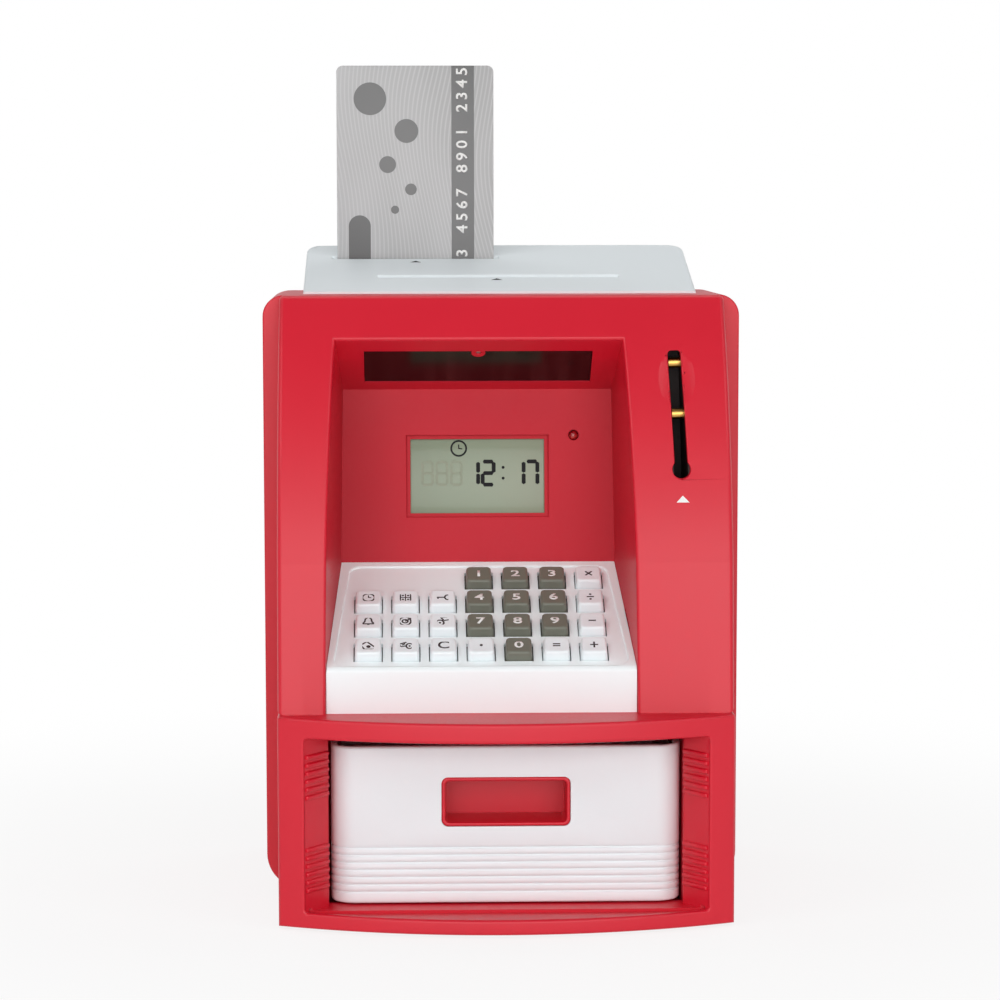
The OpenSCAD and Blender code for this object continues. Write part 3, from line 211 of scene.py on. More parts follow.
def bevel(piece, width, test, segments=3):
    """Rounds the edges that pass a test, sharp or not."""
    edit(piece, "EDGE", test)
    bpy.ops.mesh.bevel(offset=width * MM, segments=segments, affect="EDGES", clamp_overlap=False)
    bpy.ops.object.mode_set(mode="OBJECT")
    return piece


def thickened(piece, height):
    """Raises a flat print by a height."""
    edit(piece, "FACE", lambda f: True)
    bpy.ops.mesh.extrude_region_move(TRANSFORM_OT_translate={"value": (0, 0, height * MM)})
    bpy.ops.object.mode_set(mode="OBJECT")
    return turned_outwards(piece)


def merged(piece, reach):
    """Merges points that lie within a reach and makes flat faces whole again."""
    pick(piece)
    bpy.ops.object.mode_set(mode="EDIT")
    bpy.ops.mesh.select_all(action="SELECT")
    bpy.ops.mesh.remove_doubles(threshold=reach * MM)
    bpy.ops.mesh.dissolve_limited(angle_limit=math.radians(0.5))
    bpy.ops.object.mode_set(mode="OBJECT")
    return piece


def copied(node):
    """A merged copy of a frame node, with its flat faces whole again."""
    pick(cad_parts[node])
    bpy.ops.object.duplicate()
    piece = bpy.context.active_object
    piece.parent = None
    for key in list(piece.keys()):
        del piece[key]
    piece.data.materials.clear()
    pick(piece)
    bpy.ops.mesh.customdata_custom_splitnormals_clear()
    return merged(piece, 0.002)


def dress(piece, name, body, material, replaces=()):
    """Names a finished piece, gives it its material, and lets it ride on its body."""
    settle(piece)
    piece.name = name
    piece.data.name = name
    piece.data.materials.clear()
    piece.data.materials.append(material)
    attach(piece, body)
    if replaces:
        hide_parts(*replaces)
    return piece


def paint(material, *nodes):
    """Gives carried-over frame nodes a material."""
    for node in nodes:
        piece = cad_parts[node]
        piece.data.materials.clear()
        piece.data.materials.append(material)


def joined(pieces):
    pick(*pieces)
    if len(pieces) > 1:
        bpy.ops.object.join()
    return bpy.context.active_object


def placed(piece, matrix):
    """Moves a piece's mesh by a matrix."""
    piece.matrix_world = matrix @ piece.matrix_world
    return settle(piece)


def on_screen(x, up, out):
    """From a flat drawing, in millimetres, to the leaning screen wall."""
    return (Matrix.Translation(SCREEN_FOOT * MM) @ Matrix.Rotation(-SCREEN_TILT, 4, "X")
            @ Matrix.Translation(Vector((x, -out, up)) * MM) @ Matrix.Rotation(math.pi / 2, 4, "X"))


def on_deck(x, along):
    """From a flat drawing, in millimetres, to the sloping key deck."""
    return (Matrix.Translation(DECK_EDGE * MM) @ Matrix.Rotation(DECK_TILT, 4, "X")
            @ Matrix.Translation(Vector((x, along, 0)) * MM))


# Flat print, drawn in the X-Y plane from bars, rings and discs


def bar(x0, y0, x1, y1, width):
    length = math.hypot(x1 - x0, y1 - y0)
    bpy.ops.mesh.primitive_plane_add(size=1, location=((x0 + x1) / 2 * MM, (y0 + y1) / 2 * MM, 0),
                                     rotation=(0, 0, math.atan2(y1 - y0, x1 - x0)))
    piece = bpy.context.active_object
    piece.scale = (length * MM, width * MM, 1)
    return settle(piece)


def disc(x, y, radius, sides=24):
    bpy.ops.mesh.primitive_circle_add(vertices=sides, radius=radius * MM, fill_type="NGON",
                                      location=(x * MM, y * MM, 0))
    return settle(bpy.context.active_object)


def ring(x, y, radius, width, squash=1.0):
    bpy.ops.mesh.primitive_circle_add(vertices=32, radius=(radius + width / 2) * MM,
                                      fill_type="NGON", location=(x * MM, y * MM, 0))
    piece = bpy.context.active_object
    piece.scale = (1, squash, 1)
    settle(piece)
    edit(piece, "FACE", lambda f: True)
    bpy.ops.mesh.inset(thickness=width * MM)
    bpy.ops.mesh.delete(type="FACE")
    bpy.ops.object.mode_set(mode="OBJECT")
    return piece


def figure(text, size, x=0, y=0, wide=1.0, bold=0.0, turn=0.0):
    """A plain figure or letter as a flat mesh, centred on a place."""
    bpy.ops.object.text_add(location=(0, 0, 0))
    piece = bpy.context.active_object
    piece.data.body = text
    piece.data.align_x = "CENTER"
    piece.data.align_y = "CENTER"
    piece.data.size = size * MM
    piece.data.offset = bold * MM
    piece.data.resolution_u = 3
    pick(piece)
    bpy.ops.object.convert(target="MESH")
    piece = bpy.context.active_object
    piece.scale = (wide, 1, 1)
    settle(piece)
    piece.rotation_euler = (0, 0, turn)
    piece.location = (x * MM, y * MM, 0)
    return settle(piece)


def outline(points, width):
    """A closed line through points."""
    return [bar(*a, *b, width) for a, b in zip(points, points[1:] + points[:1])]


# Shader helpers


class Tap:
    """One output of a node, which can stand in sums with other outputs and with numbers."""

    def __init__(self, finish, socket):
        self.finish = finish
        self.socket = socket

    def _sum(self, operation, first, second):
        return self.finish.node("ShaderNodeMath", {"operation": operation}, {0: first, 1: second})

    def __add__(self, other):
        return self._sum("ADD", self, other)

    __radd__ = __add__

    def __mul__(self, other):
        return self._sum("MULTIPLY", self, other)

    __rmul__ = __mul__

    def __sub__(self, other):
        return self._sum("SUBTRACT", self, other)

    def __rsub__(self, other):
        return self._sum("SUBTRACT", other, self)

    def size(self):
        return self._sum("ABSOLUTE", self, 0.0)

    def wave(self):
        return self._sum("SINE", self, 0.0)

    def least(self, other):
        return self._sum("MINIMUM", self, other)

    def most(self, other):
        return self._sum("MAXIMUM", self, other)


class Finish:
    """A material and its nodes."""

    def __init__(self, name, owner=None, closing="ShaderNodeOutputMaterial"):
        self.material = owner or bpy.data.materials.new(name)
        self.material.use_nodes = True
        self.tree = self.material.node_tree
        self.tree.nodes.clear()
        self.out = self.tree.nodes.new(closing)

    def node(self, kind, settings=None, sockets=None, out=0):
        """Adds a node: its settings first, then the values or links of its sockets."""
        made = self.tree.nodes.new(kind)
        for key, value in (settings or {}).items():
            setattr(made, key, value)
        for key, value in (sockets or {}).items():
            socket = made.inputs[key]
            if isinstance(value, Tap):
                self.tree.links.new(value.socket, socket)
            elif hasattr(socket.default_value, "__len__") and len(value) == 3 \
                    and len(socket.default_value) == 4:
                socket.default_value = (*value, 1)
            else:
                socket.default_value = value
        return Tap(self, made.outputs[out])

    def place(self, scale=(1, 1, 1), turn=(0, 0, 0), shift=(0, 0, 0)):
        """Where a point lies on the piece."""
        where = self.node("ShaderNodeTexCoord", out="Object")
        return self.node("ShaderNodeMapping", {}, {"Vector": where, "Location": shift,
                                                   "Rotation": turn, "Scale": scale})

    def axes(self, vector):
        """The three numbers of a place."""
        split = self.node("ShaderNodeSeparateXYZ", {}, {0: vector}).socket.node
        return [Tap(self, out) for out in split.outputs]

    def noise(self, where, scale, detail=2.0, rough=0.5):
        return self.node("ShaderNodeTexNoise", {}, {"Vector": where, "Scale": scale,
                                                    "Detail": detail, "Roughness": rough})

    def mix(self, first, second, factor):
        return self.node("ShaderNodeMix", {"data_type": "RGBA"},
                         {0: factor, 6: first, 7: second}, 2)

    def step(self, value, start, end, low=0.0, high=1.0):
        """Runs smoothly from low to high as a value goes from start to end."""
        return self.node("ShaderNodeMapRange", {"interpolation_type": "SMOOTHSTEP"},
                         {"Value": value, "From Min": start, "From Max": end,
                          "To Min": low, "To Max": high})

    def light_seen(self):
        """One where the camera, a mirror or a clear pane looks straight at the backdrop."""
        path = self.node("ShaderNodeLightPath").socket.node
        camera, mirror, pane = [Tap(self, path.outputs[name]) for name in
                                ("Is Camera Ray", "Is Glossy Ray", "Is Transmission Ray")]
        return (camera + mirror + pane).least(1.0)

    def camera_seen(self):
        """One where the camera looks."""
        return self.node("ShaderNodeLightPath", out="Is Camera Ray")

    def distance(self, across, up):
        """How far a point is from the middle, from its two distances along the axes."""
        return self.node("ShaderNodeMath", {"operation": "SQRT"}, {0: across * across + up * up})

    def bump(self, height, depth):
        return self.node("ShaderNodeBump", {}, {"Height": height, "Distance": depth * MM,
                                                "Strength": 1.0})

    def close(self, shader):
        """Links the last shader to the material's output."""
        self.tree.links.new(shader.socket, self.out.inputs["Surface"])
        return self.material

    def surface(self, base, roughness, normal, **fixed):
        """The closing shader: what varies is linked and what doesn't is set on its own socket."""
        sockets = {"Base Color": base, "Roughness": roughness, "Normal": normal}
        sockets.update({key.replace("_", " "): value for key, value in fixed.items()})
        return self.close(self.node("ShaderNodeBsdfPrincipled", {}, sockets))


def moulded(name, colour, roughness, cloud, grain, fine=900, alcove=False):
    """Injection moulded plastic: faint flow clouds, a fine eroded grain and small scuffs."""
    f = Finish(name)
    where = f.place()
    broad = f.noise(where, 22, 3)
    streak = f.noise(f.place(scale=(60, 60, 9)), 1.0, 3)
    small = f.noise(where, fine, 3)
    texture = f.noise(where, fine * 4, 2)
    scuff = f.step(f.noise(f.place(scale=(420, 90, 260), turn=(0.4, 0.2, 0.9)), 1.0, 4), 0.66, 0.74)
    flow = broad * 0.6 + streak * 0.4
    base = f.mix(shade(colour, 1 - cloud), shade(colour, 1 + cloud), flow)
    base = f.mix(base, shade(colour, 1.10), scuff * 0.18)
    rough = roughness - 0.06 + flow * 0.10 + (small - 0.5) * 0.10 + scuff * 0.05
    height = texture * 0.6 + small * 0.4
    # Inside the alcove, painted shade darkens the red
    if alcove:
        base, rough = painted_alcove_shade(f, where, colour, base, rough)
    return f.surface(base, rough, f.bump(height, grain))


def painted_alcove_shade(f, where, colour, base, rough):
    """Painted shade: the red is darkened deeper inside the alcove and towards its side walls; the
    alcove is also moulded duller than the face round it.
    """
    x, y, z = f.axes(where)
    behind = y - CREASE_Y * MM - (z - CREASE_Z * MM) * FACE_SLOPE
    within = f.step(behind, 0.003, 0.046) * f.step(x.size(), 0.066, 0.064) \
        * f.step(z, 0.180, 0.178) * f.step(z, 0.067, 0.069)
    # The painted shade is stronger towards the alcove's side walls
    edge = f.step(x.size(), 0.024, 0.047) * 0.35 + 0.65
    return f.mix(base, shade(colour, 0.72), within * edge), rough + within * 0.28


def metal(name, colour, roughness, lines=(40, 2600, 2600), depth=0.004):
    """Bare metal with fine drawn or brushed lines and faint stains."""
    f = Finish(name)
    line = f.noise(f.place(scale=lines), 1.0, 3)
    stain = f.noise(f.place(), 140, 3)
    base = f.mix(shade(colour, 0.82), shade(colour, 1.08), line * 0.6 + stain * 0.4)
    rough = roughness - 0.05 + line * 0.12 + stain * 0.08
    return f.surface(base, rough, f.bump(line, depth), Metallic=1.0)


def printed(name, colour, **fixed):
    """Pad printed ink, a little uneven."""
    f = Finish(name)
    where = f.place()
    patch = f.noise(where, 1800, 3)
    base = f.mix(shade(colour, 0.9), shade(colour, 1.08), patch)
    return f.surface(base, (patch - 0.5) * 0.12 + 0.5, f.bump(patch, 0.004), **fixed)


def finishes():
    """Every material of the bank, made once from the panel's colours."""
    made = MADE
    if made:
        return made
    c = bpy.context.scene.bank_colours
    # The red carries painted shade inside the alcove
    made["red"] = moulded("red_moulding", c.red, 0.40, 0.05, 0.010, alcove=True)
    made["red_shell"] = moulded("red_shell_moulding", shade(c.red, 0.97), 0.42, 0.05, 0.014)
    made["white"] = moulded("white_moulding", c.white, 0.40, 0.015, 0.008)
    # Painted light: the keys and the deck are lighter copies of the white plastic, standing in for
    # the light they lack in the alcove
    made["white_key"] = moulded("white_key_moulding", shade(c.white, 1.04), 0.36, 0.0, 0.006)
    made["white_deck"] = moulded("white_deck_moulding", shade(c.white, 1.05), 0.42, 0.0, 0.008)
    made["grey_key"] = moulded("grey_key_moulding", c.grey, 0.42, 0.04, 0.008)
    made["pale"] = moulded("pale_moulding", linear(205, 204, 198), 0.45, 0.03, 0.012)
    made["dark"] = moulded("dark_moulding", linear(58, 58, 60), 0.5, 0.05, 0.014)
    # Painted shade: the coin guide inside the slot is coloured the deep red-brown of shade
    made["slot_dark"] = moulded("slot_painted_shade_moulding", linear(40, 22, 22), 0.6, 0.05, 0.014)
    made["rubber"] = moulded("black_rubber", linear(34, 34, 36), 0.72, 0.08, 0.03, 500)
    made["grey_rubber"] = moulded("grey_rubber", linear(160, 160, 158), 0.68, 0.05, 0.02, 500)
    made["steel"] = metal("bright_steel", (0.62, 0.63, 0.65), 0.28)
    made["wire"] = metal("spring_steel", (0.48, 0.49, 0.51), 0.32, (900, 900, 900))
    made["brass"] = metal("sprung_brass", c.brass, 0.24, (800, 3200, 800), 0.003)
    made["copper"] = metal("enamelled_copper", (0.60, 0.26, 0.12), 0.30, (60, 60, 4200), 0.02)
    made["dark_ink"] = printed("dark_ink", linear(48, 42, 44))
    made["black_ink"] = printed("black_ink", linear(14, 14, 17), Specular_IOR_Level=0.15)
    made["white_ink"] = printed("white_ink", linear(244, 244, 242))
    made["board"] = board_finish()
    made["cells"] = cell_finish()
    made["window"] = window_finish()
    made["glass"] = screen_finish()
    made["resting"] = resting_finish()
    made["lamp"] = lamp_finish()
    made["card"] = card_finish()
    return made


def board_finish():
    """Green solder mask over copper tracks."""
    f = Finish("solder_mask")
    where = f.place()
    tracks = f.node("ShaderNodeTexBrick", {}, {"Vector": where, "Scale": 260.0, "Mortar Size": 0.03,
                                               "Color1": (1, 1, 1, 1), "Color2": (0.8, 0.8, 0.8, 1),
                                               "Mortar": (0, 0, 0, 1)}, "Fac")
    patch = f.noise(where, 300, 2)
    base = f.mix(linear(20, 74, 42), linear(46, 110, 64), tracks * 0.7 + patch * 0.3)
    return f.surface(base, 0.30 + patch * 0.15, f.bump(tracks, 0.02))


def cell_finish():
    """Printed sleeve of a cell, with bare metal ends."""
    f = Finish("cell_sleeve")
    x = f.axes(f.place())[0]
    end = f.step(x.size(), 0.0238, 0.0240)
    band = f.step(x, 0.012, 0.0121)
    base = f.mix(linear(34, 52, 110), linear(196, 160, 60), band)
    base = f.mix(base, linear(190, 192, 196), end)
    patch = f.noise(f.place(), 400, 3)
    return f.surface(base, 0.28 + patch * 0.1, f.bump(patch, 0.01), Metallic=end * 0.9)


def window_finish():
    """Smoked window, with darker and lighter vertical bands painted in for the works behind it and
    their highlights.
    """
    f = Finish("smoked_window")
    z = f.axes(f.place())[2]
    # Painted highlights: lighter vertical bands stand for the lit works behind the window
    bands = f.noise(f.place(scale=(160, 4, 4)), 1.0, 3, 0.6)
    low = f.step(z, 0.170, 0.184)
    base = f.mix(linear(20, 9, 9), linear(62, 34, 34), f.step(bands, 0.42, 0.72) * 0.7)
    # Towards its top the bands fade halfway into an even dark tone
    base = f.mix(base, linear(38, 14, 13), low * 0.5)
    patch = f.noise(f.place(), 500, 2)
    return f.surface(base, 0.16 + patch * 0.06, f.bump(patch, 0.003), Coat_Weight=0.1,
                     Coat_Roughness=0.05, Specular_IOR_Level=0.3)


def screen_finish():
    """Grey-green liquid crystal under a clear sheet."""
    f = Finish("screen_glass")
    x = f.axes(f.place())[0]
    drift = f.noise(f.place(), 35, 2)
    # Painted light: the panel is lighter towards its right side
    side = f.step(x, -0.030, 0.016)
    base = f.mix(linear(118, 138, 110), linear(136, 147, 120), side * 0.6 + drift * 0.4)
    dots = f.noise(f.place(), 6000, 1)
    base = f.mix(base, linear(120, 134, 110), dots * 0.25)
    return f.surface(base, 0.32 + drift * 0.06, f.bump(dots, 0.002), Coat_Weight=0.35,
                     Coat_Roughness=0.08)


def resting_finish():
    """Figures of the screen that are switched off and still show faintly."""
    f = Finish("resting_segments")
    patch = f.noise(f.place(), 900, 2)
    base = f.mix(linear(126, 140, 116), linear(140, 148, 124), patch)
    return f.surface(base, 0.4, f.bump(patch, 0.002))


def lamp_finish():
    """Tinted lens of the lamp, with paler pink patches that are a painted highlight."""
    f = Finish("lamp_lens")
    where = f.place()
    cloud = f.noise(where, 700, 2)
    # Painted highlight: paler pink patches on the dark red lens
    base = f.mix(linear(150, 12, 22), linear(196, 60, 56), f.step(cloud, 0.45, 0.7))
    return f.surface(base, 0.14 + cloud * 0.05, f.bump(cloud, 0.01), Coat_Weight=0.6,
                     Coat_Roughness=0.05)


def card_finish():
    """Laminated card: pale grey with fine wavy lines, a dark band and plain round spots."""
    f = Finish("card_print")
    axes = f.axes(f.place(shift=(-CARD_X * MM, 0, -CARD_Z * MM)))
    # In millimetres from the card's middle
    across = axes[0] * 1000
    up = axes[2] * 1000
    warp = (up * 0.075 + (across * 0.06).wave() * 1.2).wave() * 2.2 \
        + (up * 0.031 + 0.8).wave() * 3.4
    lines = ((across + warp) * 4.6).wave()
    sheen = f.noise(f.place(scale=(26, 26, 11), turn=(0, 0.5, 0)), 1.0, 2)
    base = f.mix(linear(160, 160, 160), linear(179, 179, 180), f.step(sheen, 0.3, 0.7))
    base = f.mix(base, linear(200, 200, 201), f.step(lines, 0.1, 0.9) * 0.38)
    marks = f.step((across - BAND_X).size(), 3.95, 3.85)
    for place_x, place_y, radius in ((-15.5, 31.5, 5.6), (-3.0, 20.5, 4.1), (-9.5, 9.0, 2.9),
                                     (-1.5, 0.5, 2.0), (-7.0, -6.5, 1.4)):
        spot = f.distance(across - place_x, up - place_y)
        marks = marks.most(f.step(spot, radius + 0.06, radius - 0.06))
    tab = f.distance(across + 19.2, (up + 12.2).most(0.0))
    marks = marks.most(f.step(tab, 3.86, 3.74))
    grey = f.mix(linear(84, 84, 84), linear(94, 94, 94), sheen)
    base = f.mix(base, grey, marks)
    patch = f.noise(f.place(), 900, 2)
    return f.surface(base, 0.34 + patch * 0.08, f.bump(patch, 0.002), Coat_Weight=0.3,
                     Coat_Roughness=0.2)


# What a user would change


class BankColours(bpy.types.PropertyGroup):
    red: bpy.props.FloatVectorProperty(
        name="Red plastic", description="Colour of the red mouldings", subtype="COLOR",
        size=3, min=0, max=1, default=linear(214, 18, 44))
    white: bpy.props.FloatVectorProperty(
        name="White plastic", description="Colour of the cap, the key deck and the drawer",
        subtype="COLOR", size=3, min=0, max=1, default=linear(241, 248, 251))
    grey: bpy.props.FloatVectorProperty(
        name="Grey keys", description="Colour of the figure keys", subtype="COLOR",
        size=3, min=0, max=1, default=linear(115, 117, 105))
    brass: bpy.props.FloatVectorProperty(
        name="Brass", description="Colour of the coin contacts", subtype="COLOR",
        size=3, min=0, max=1, default=linear(214, 168, 92))


class BankSizes(bpy.types.PropertyGroup):
    rim: bpy.props.FloatProperty(
        name="Rim rounding",
        description="Rounding of the red mouldings' outer edges, in millimetres",
        default=1.0, min=0.2, max=2.0)
    key_top: bpy.props.FloatProperty(
        name="Key top", description="Width of a key's top, in millimetres",
        default=7.7, min=6.5, max=8.5)
    key_height: bpy.props.FloatProperty(
        name="Key height", description="Height of a key above the deck, in millimetres",
        default=2.5, min=2.0, max=3.5)
    ink: bpy.props.FloatProperty(
        name="Line width", description="Width of the lines printed on the keys, in millimetres",
        default=0.55, min=0.2, max=0.8)


def face_y(z):
    """Depth of the front face at a height."""
    if z <= CREASE_Z:
        return FOOT_Y + (CREASE_Y - FOOT_Y) * (z - FOOT_Z) / (CREASE_Z - FOOT_Z)
    return FACE_MIDDLE_Y - math.sqrt(max(0.0, FACE_RADIUS ** 2 - (z - FACE_MIDDLE_Z) ** 2))


def screen_y(z):
    """Depth of the leaning screen wall at a height."""
    return SCREEN_FOOT.y + (z - SCREEN_FOOT.z) * math.tan(SCREEN_TILT)


def cap_z(y):
    """Height of the cap's sloping top at a depth."""
    return CAP_Z + (y - CAP_Y) * math.tan(CAP_TILT)


def deck_z(y):
    """Height of the sloping key deck at a depth."""
    return DECK_EDGE.z + (y - DECK_EDGE.y) * math.tan(DECK_TILT)


def face_turn(z):
    """Turn that lays a flat drawing on the front face at a height."""
    lean = math.atan2(face_y(z + 1) - face_y(z - 1), 2)
    return Matrix.Rotation(math.pi / 2 - lean, 4, "X")


class BANK_OT_front(bpy.types.Operator):
    """Rounds the edges of the front housing and gives it its red plastic"""

    bl_idname = "bank.front"
    bl_label = "Front housing"

    def execute(self, context):
        sizes = context.scene.bank_sizes
        piece = copied("front_housing")

        def on_face(p):
            return 68 < p.z < 199 and abs(p.y - face_y(p.z)) < 0.3

        def slot(p):
            return 51 < p.x < 61 and 140 < p.z < 184

        def outer(p):
            side = abs(p.x) > 72.9 and p.z > 68 and p.y < -2.2
            return side or p.z > 199.9 and p.y < face_y(200) + 0.3

        def bezel(p):
            return abs(p.y - screen_y(p.z)) < 0.12 and -34 < p.x < 18 and 120 < p.z < 156

        def lamp(p):
            return abs(p.y - screen_y(p.z)) < 0.12 and 20 < p.x < 27 and 148 < p.z < 157

        # A sphere drawn out and sunk into the face cuts the eye-shaped dish round the coin slot
        dish_z, dish_out = 173.8, 3.6
        bpy.ops.mesh.primitive_uv_sphere_add(segments=48, ring_count=32, radius=MM)
        cutter = bpy.context.active_object
        cutter.scale = (10.4, 21.0, 4.5)
        settle(cutter)
        placed(cutter, Matrix.Translation(Vector((SLOT_X, face_y(dish_z), dish_z)) * MM)
               @ face_turn(dish_z)
               @ Matrix.Translation(Vector((0, 0, dish_out)) * MM))
        modify(piece, "BOOLEAN", operation="DIFFERENCE", solver="EXACT", object=cutter)
        bpy.data.objects.remove(cutter)
        round_edges(piece, 1.6, outer, 4)
        round_edges(piece, sizes.rim, lambda p: on_face(p) and abs(p.x - CENTRE_X) < 55
                    and p.z < 190)
        merged(piece, 0.01)
        round_edges(piece, 0.4, lambda p: -0.3 < p.y - face_y(p.z) < 1.5 and slot(p)
                    and abs(p.x - SLOT_X) < 3.6, 3, 40)
        round_edges(piece, 0.45, bezel)
        round_edges(piece, 0.25, lamp)
        if edit(piece, "EDGE", lambda e: abs(middle(e).z - CREASE_Z) < 0.1 and on_face(middle(e))):
            bpy.ops.mesh.mark_sharp()
        bpy.ops.object.mode_set(mode="OBJECT")
        dress(even(piece), "front_panel", "housing", finishes()["red"],
              ["front_housing"])
        return {"FINISHED"}


class BANK_OT_surround(bpy.types.Operator):
    """Rounds the drawer surround and adds the grip ribs on its cheeks"""

    bl_idname = "bank.surround"
    bl_label = "Drawer surround"

    def execute(self, context):
        sizes = context.scene.bank_sizes
        piece = copied("drawer_surround")
        # The bow's front, half its width and its rise give its radius
        front, half, rise = -73.7, 73.0, 15.7
        radius = (half ** 2 + rise ** 2) / (2 * rise)

        def on_bow(p):
            return p.y < -57.5 and abs(math.hypot(p.x, p.y - front - radius) - radius) < 0.3

        round_edges(piece, sizes.rim, on_bow)
        round_edges(piece, 0.8, lambda p: p.y > -57.5 and p.z > 68.5 and abs(p.x) > 72)
        dress(even(piece), "drawer_frame", "housing", finishes()["red"],
              ["drawer_surround"])
        # Two groups of grip ribs on each cheek, which run along it into the opening
        groups, count, pitch = (13.0, 43.0), 6, 2.6
        deep, high = 1.7, 1.5
        ribs = []
        for side in (-1, 1):
            start = Vector((64.4 * side, -60.9, 0))
            end = Vector((57.1 * side, -51.0, 0))
            run = end - start
            for group in groups:
                for k in range(count):
                    bpy.ops.mesh.primitive_cube_add(size=1, location=(0, 0, 0))
                    rib = bpy.context.active_object
                    rib.scale = (run.length * 0.94 * MM, deep * MM, high * MM)
                    settle(rib)
                    bevel(rib, 0.5, lambda e: True)
                    centre = start + run * 0.52
                    rib.location = Vector((centre.x, centre.y, group + pitch * k)) * MM
                    rib.rotation_euler = (0, 0, math.atan2(run.y, run.x))
                    ribs.append(settle(rib))
        dress(smooth(joined(ribs)), "cheek_ribs", "housing", finishes()["red"])
        return {"FINISHED"}


def sloped(piece, share):
    """Lets the roof fall a little towards the rear, by a share that depends on the height."""
    for v in piece.data.vertices:
        p = v.co / MM
        if p.y > -2:
            v.co.z -= (p.y + 2) * ROOF_FALL * min(1.0, max(0.0, share(p.z))) * MM


class BANK_OT_shell(bpy.types.Operator):
    """Rounds the rear shell and its battery door"""

    bl_idname = "bank.shell"
    bl_label = "Rear shell"

    def execute(self, context):
        made = finishes()
        piece = copied("rear_shell")

        def outline_edge(p):
            corner = abs(p.x) > 70 and (p.z < 14 or p.z > 186)
            return abs(p.x) > 78.5 or p.z < 2 or p.z > 195.5 or corner

        sloped(piece, lambda z: (z - 193.8) / 6.0)
        round_edges(piece, 1.6, lambda p: p.y > 73.5 and outline_edge(p), 4)
        round_edges(piece, 0.6, lambda p: p.y < -1.9 and outline_edge(p))
        dress(even(piece), "rear_case", "housing", made["red_shell"],
              ["rear_shell"])
        door = copied("battery_door")
        round_edges(door, 0.4, lambda p: p.y > 73.6 and p.z > 79)
        dress(even(door), "battery_cover", "door", made["red_shell"],
              ["battery_door"])
        return {"FINISHED"}


class BANK_OT_cap(bpy.types.Operator):
    """Rounds the white cap and prints its two pointers"""

    bl_idname = "bank.cap"
    bl_label = "Cap"

    def execute(self, context):
        made = finishes()
        piece = copied("top_cap")

        def top(p):
            return abs(p.z - cap_z(p.y)) < 0.25

        def rim(p):
            return abs(p.x) > 65.4 or p.y > 67 and abs(p.x) > 59 or p.y > 73.4 or p.y < 14.3

        round_edges(piece, 1.5, lambda p: top(p) and rim(p) and p.y > 14.3, 4)
        round_edges(piece, 0.7, lambda p: top(p) and not rim(p))
        sloped(piece, lambda z: z < 200.1)
        dress(even(piece), "cap_cover", "housing", made["white"], ["top_cap"])
        marks = []
        # One points at the card and one at the slot for notes
        for x, y in ((CARD_X, 51.0), (-0.6, 28.6)):
            mark = disc(0, 0, 1.5, 3)
            mark.scale = (1.5, 0.9, 1)
            settle(mark)
            spot = Vector((x, y, cap_z(y) + 0.03))
            marks.append(placed(mark, Matrix.Translation(spot * MM)
                                @ Matrix.Rotation(CAP_TILT, 4, "X")))
        dress(joined(marks), "cap_pointers", "housing", made["black_ink"])
        return {"FINISHED"}


class BANK_OT_deck(bpy.types.Operator):
    """Rounds the white key deck"""

    bl_idname = "bank.deck"
    bl_label = "Key deck"

    def execute(self, context):
        piece = copied("keypad_deck")

        def above(p):
            return p.z - deck_z(p.y)

        def inside(p):
            return -51 < p.y < -3 and abs(p.x - CENTRE_X) < 48.8 - (p.y - FOOT_Y) * 0.085

        round_edges(piece, 1.3, lambda p: p.y < -51.6 and p.z > 82 and abs(above(p)) < 0.3, 4, 15)
        round_edges(piece, 0.45, lambda p: -0.4 < above(p) < 0.3 and inside(p))
        # The deck's white is a lighter copy of the white plastic, as painted light
        dress(even(piece), "key_deck", "housing", finishes()["white_deck"],
              ["keypad_deck"])
        return {"FINISHED"}


def key_blank(top, height):
    """One key: a tapered block with round corners, a soft upper edge and a shallow dish."""
    bpy.ops.mesh.primitive_plane_add(size=1, location=(0, 0, -KEY_SUNK * MM))
    key = bpy.context.active_object
    key.scale = (KEY_FOOT * MM, KEY_FOOT * MM, 1)
    settle(key)
    pick(key)
    bpy.ops.object.mode_set(mode="EDIT")
    bpy.ops.mesh.select_mode(type="VERT")
    bpy.ops.mesh.select_all(action="SELECT")
    bpy.ops.mesh.bevel(offset=1.3 * MM, segments=5, affect="VERTICES")
    bpy.ops.mesh.select_mode(type="FACE")
    bpy.ops.mesh.select_all(action="SELECT")
    # Walls up to the soft edge, the soft edge in steps, then the dish
    soft = 0.75
    shoulder = top + 0.45
    rise = height + KEY_SUNK - soft
    bpy.ops.mesh.extrude_region_move(TRANSFORM_OT_translate={"value": (0, 0, rise * MM)})
    bpy.ops.transform.resize(value=(shoulder / KEY_FOOT, shoulder / KEY_FOOT, 1))
    reach, wide = 0.0, shoulder
    for turn in (25, 50, 72, 90):
        up = soft * math.sin(math.radians(turn)) - reach
        reach += up
        narrow = shoulder - 2 * soft * (1 - math.cos(math.radians(turn)))
        bpy.ops.mesh.extrude_region_move(TRANSFORM_OT_translate={"value": (0, 0, up * MM)})
        bpy.ops.transform.resize(value=(narrow / wide, narrow / wide, 1))
        wide = narrow
    for shrink, sink in ((0.93, 0.0), (0.8, 0.06), (0.7, 0.05), (0.5, 0.03)):
        bpy.ops.mesh.extrude_region_move(TRANSFORM_OT_translate={"value": (0, 0, -sink * MM)})
        bpy.ops.transform.resize(value=(shrink, shrink, 1))
    bpy.ops.object.mode_set(mode="OBJECT")
    turned_outwards(key)
    return smooth(key, 40)


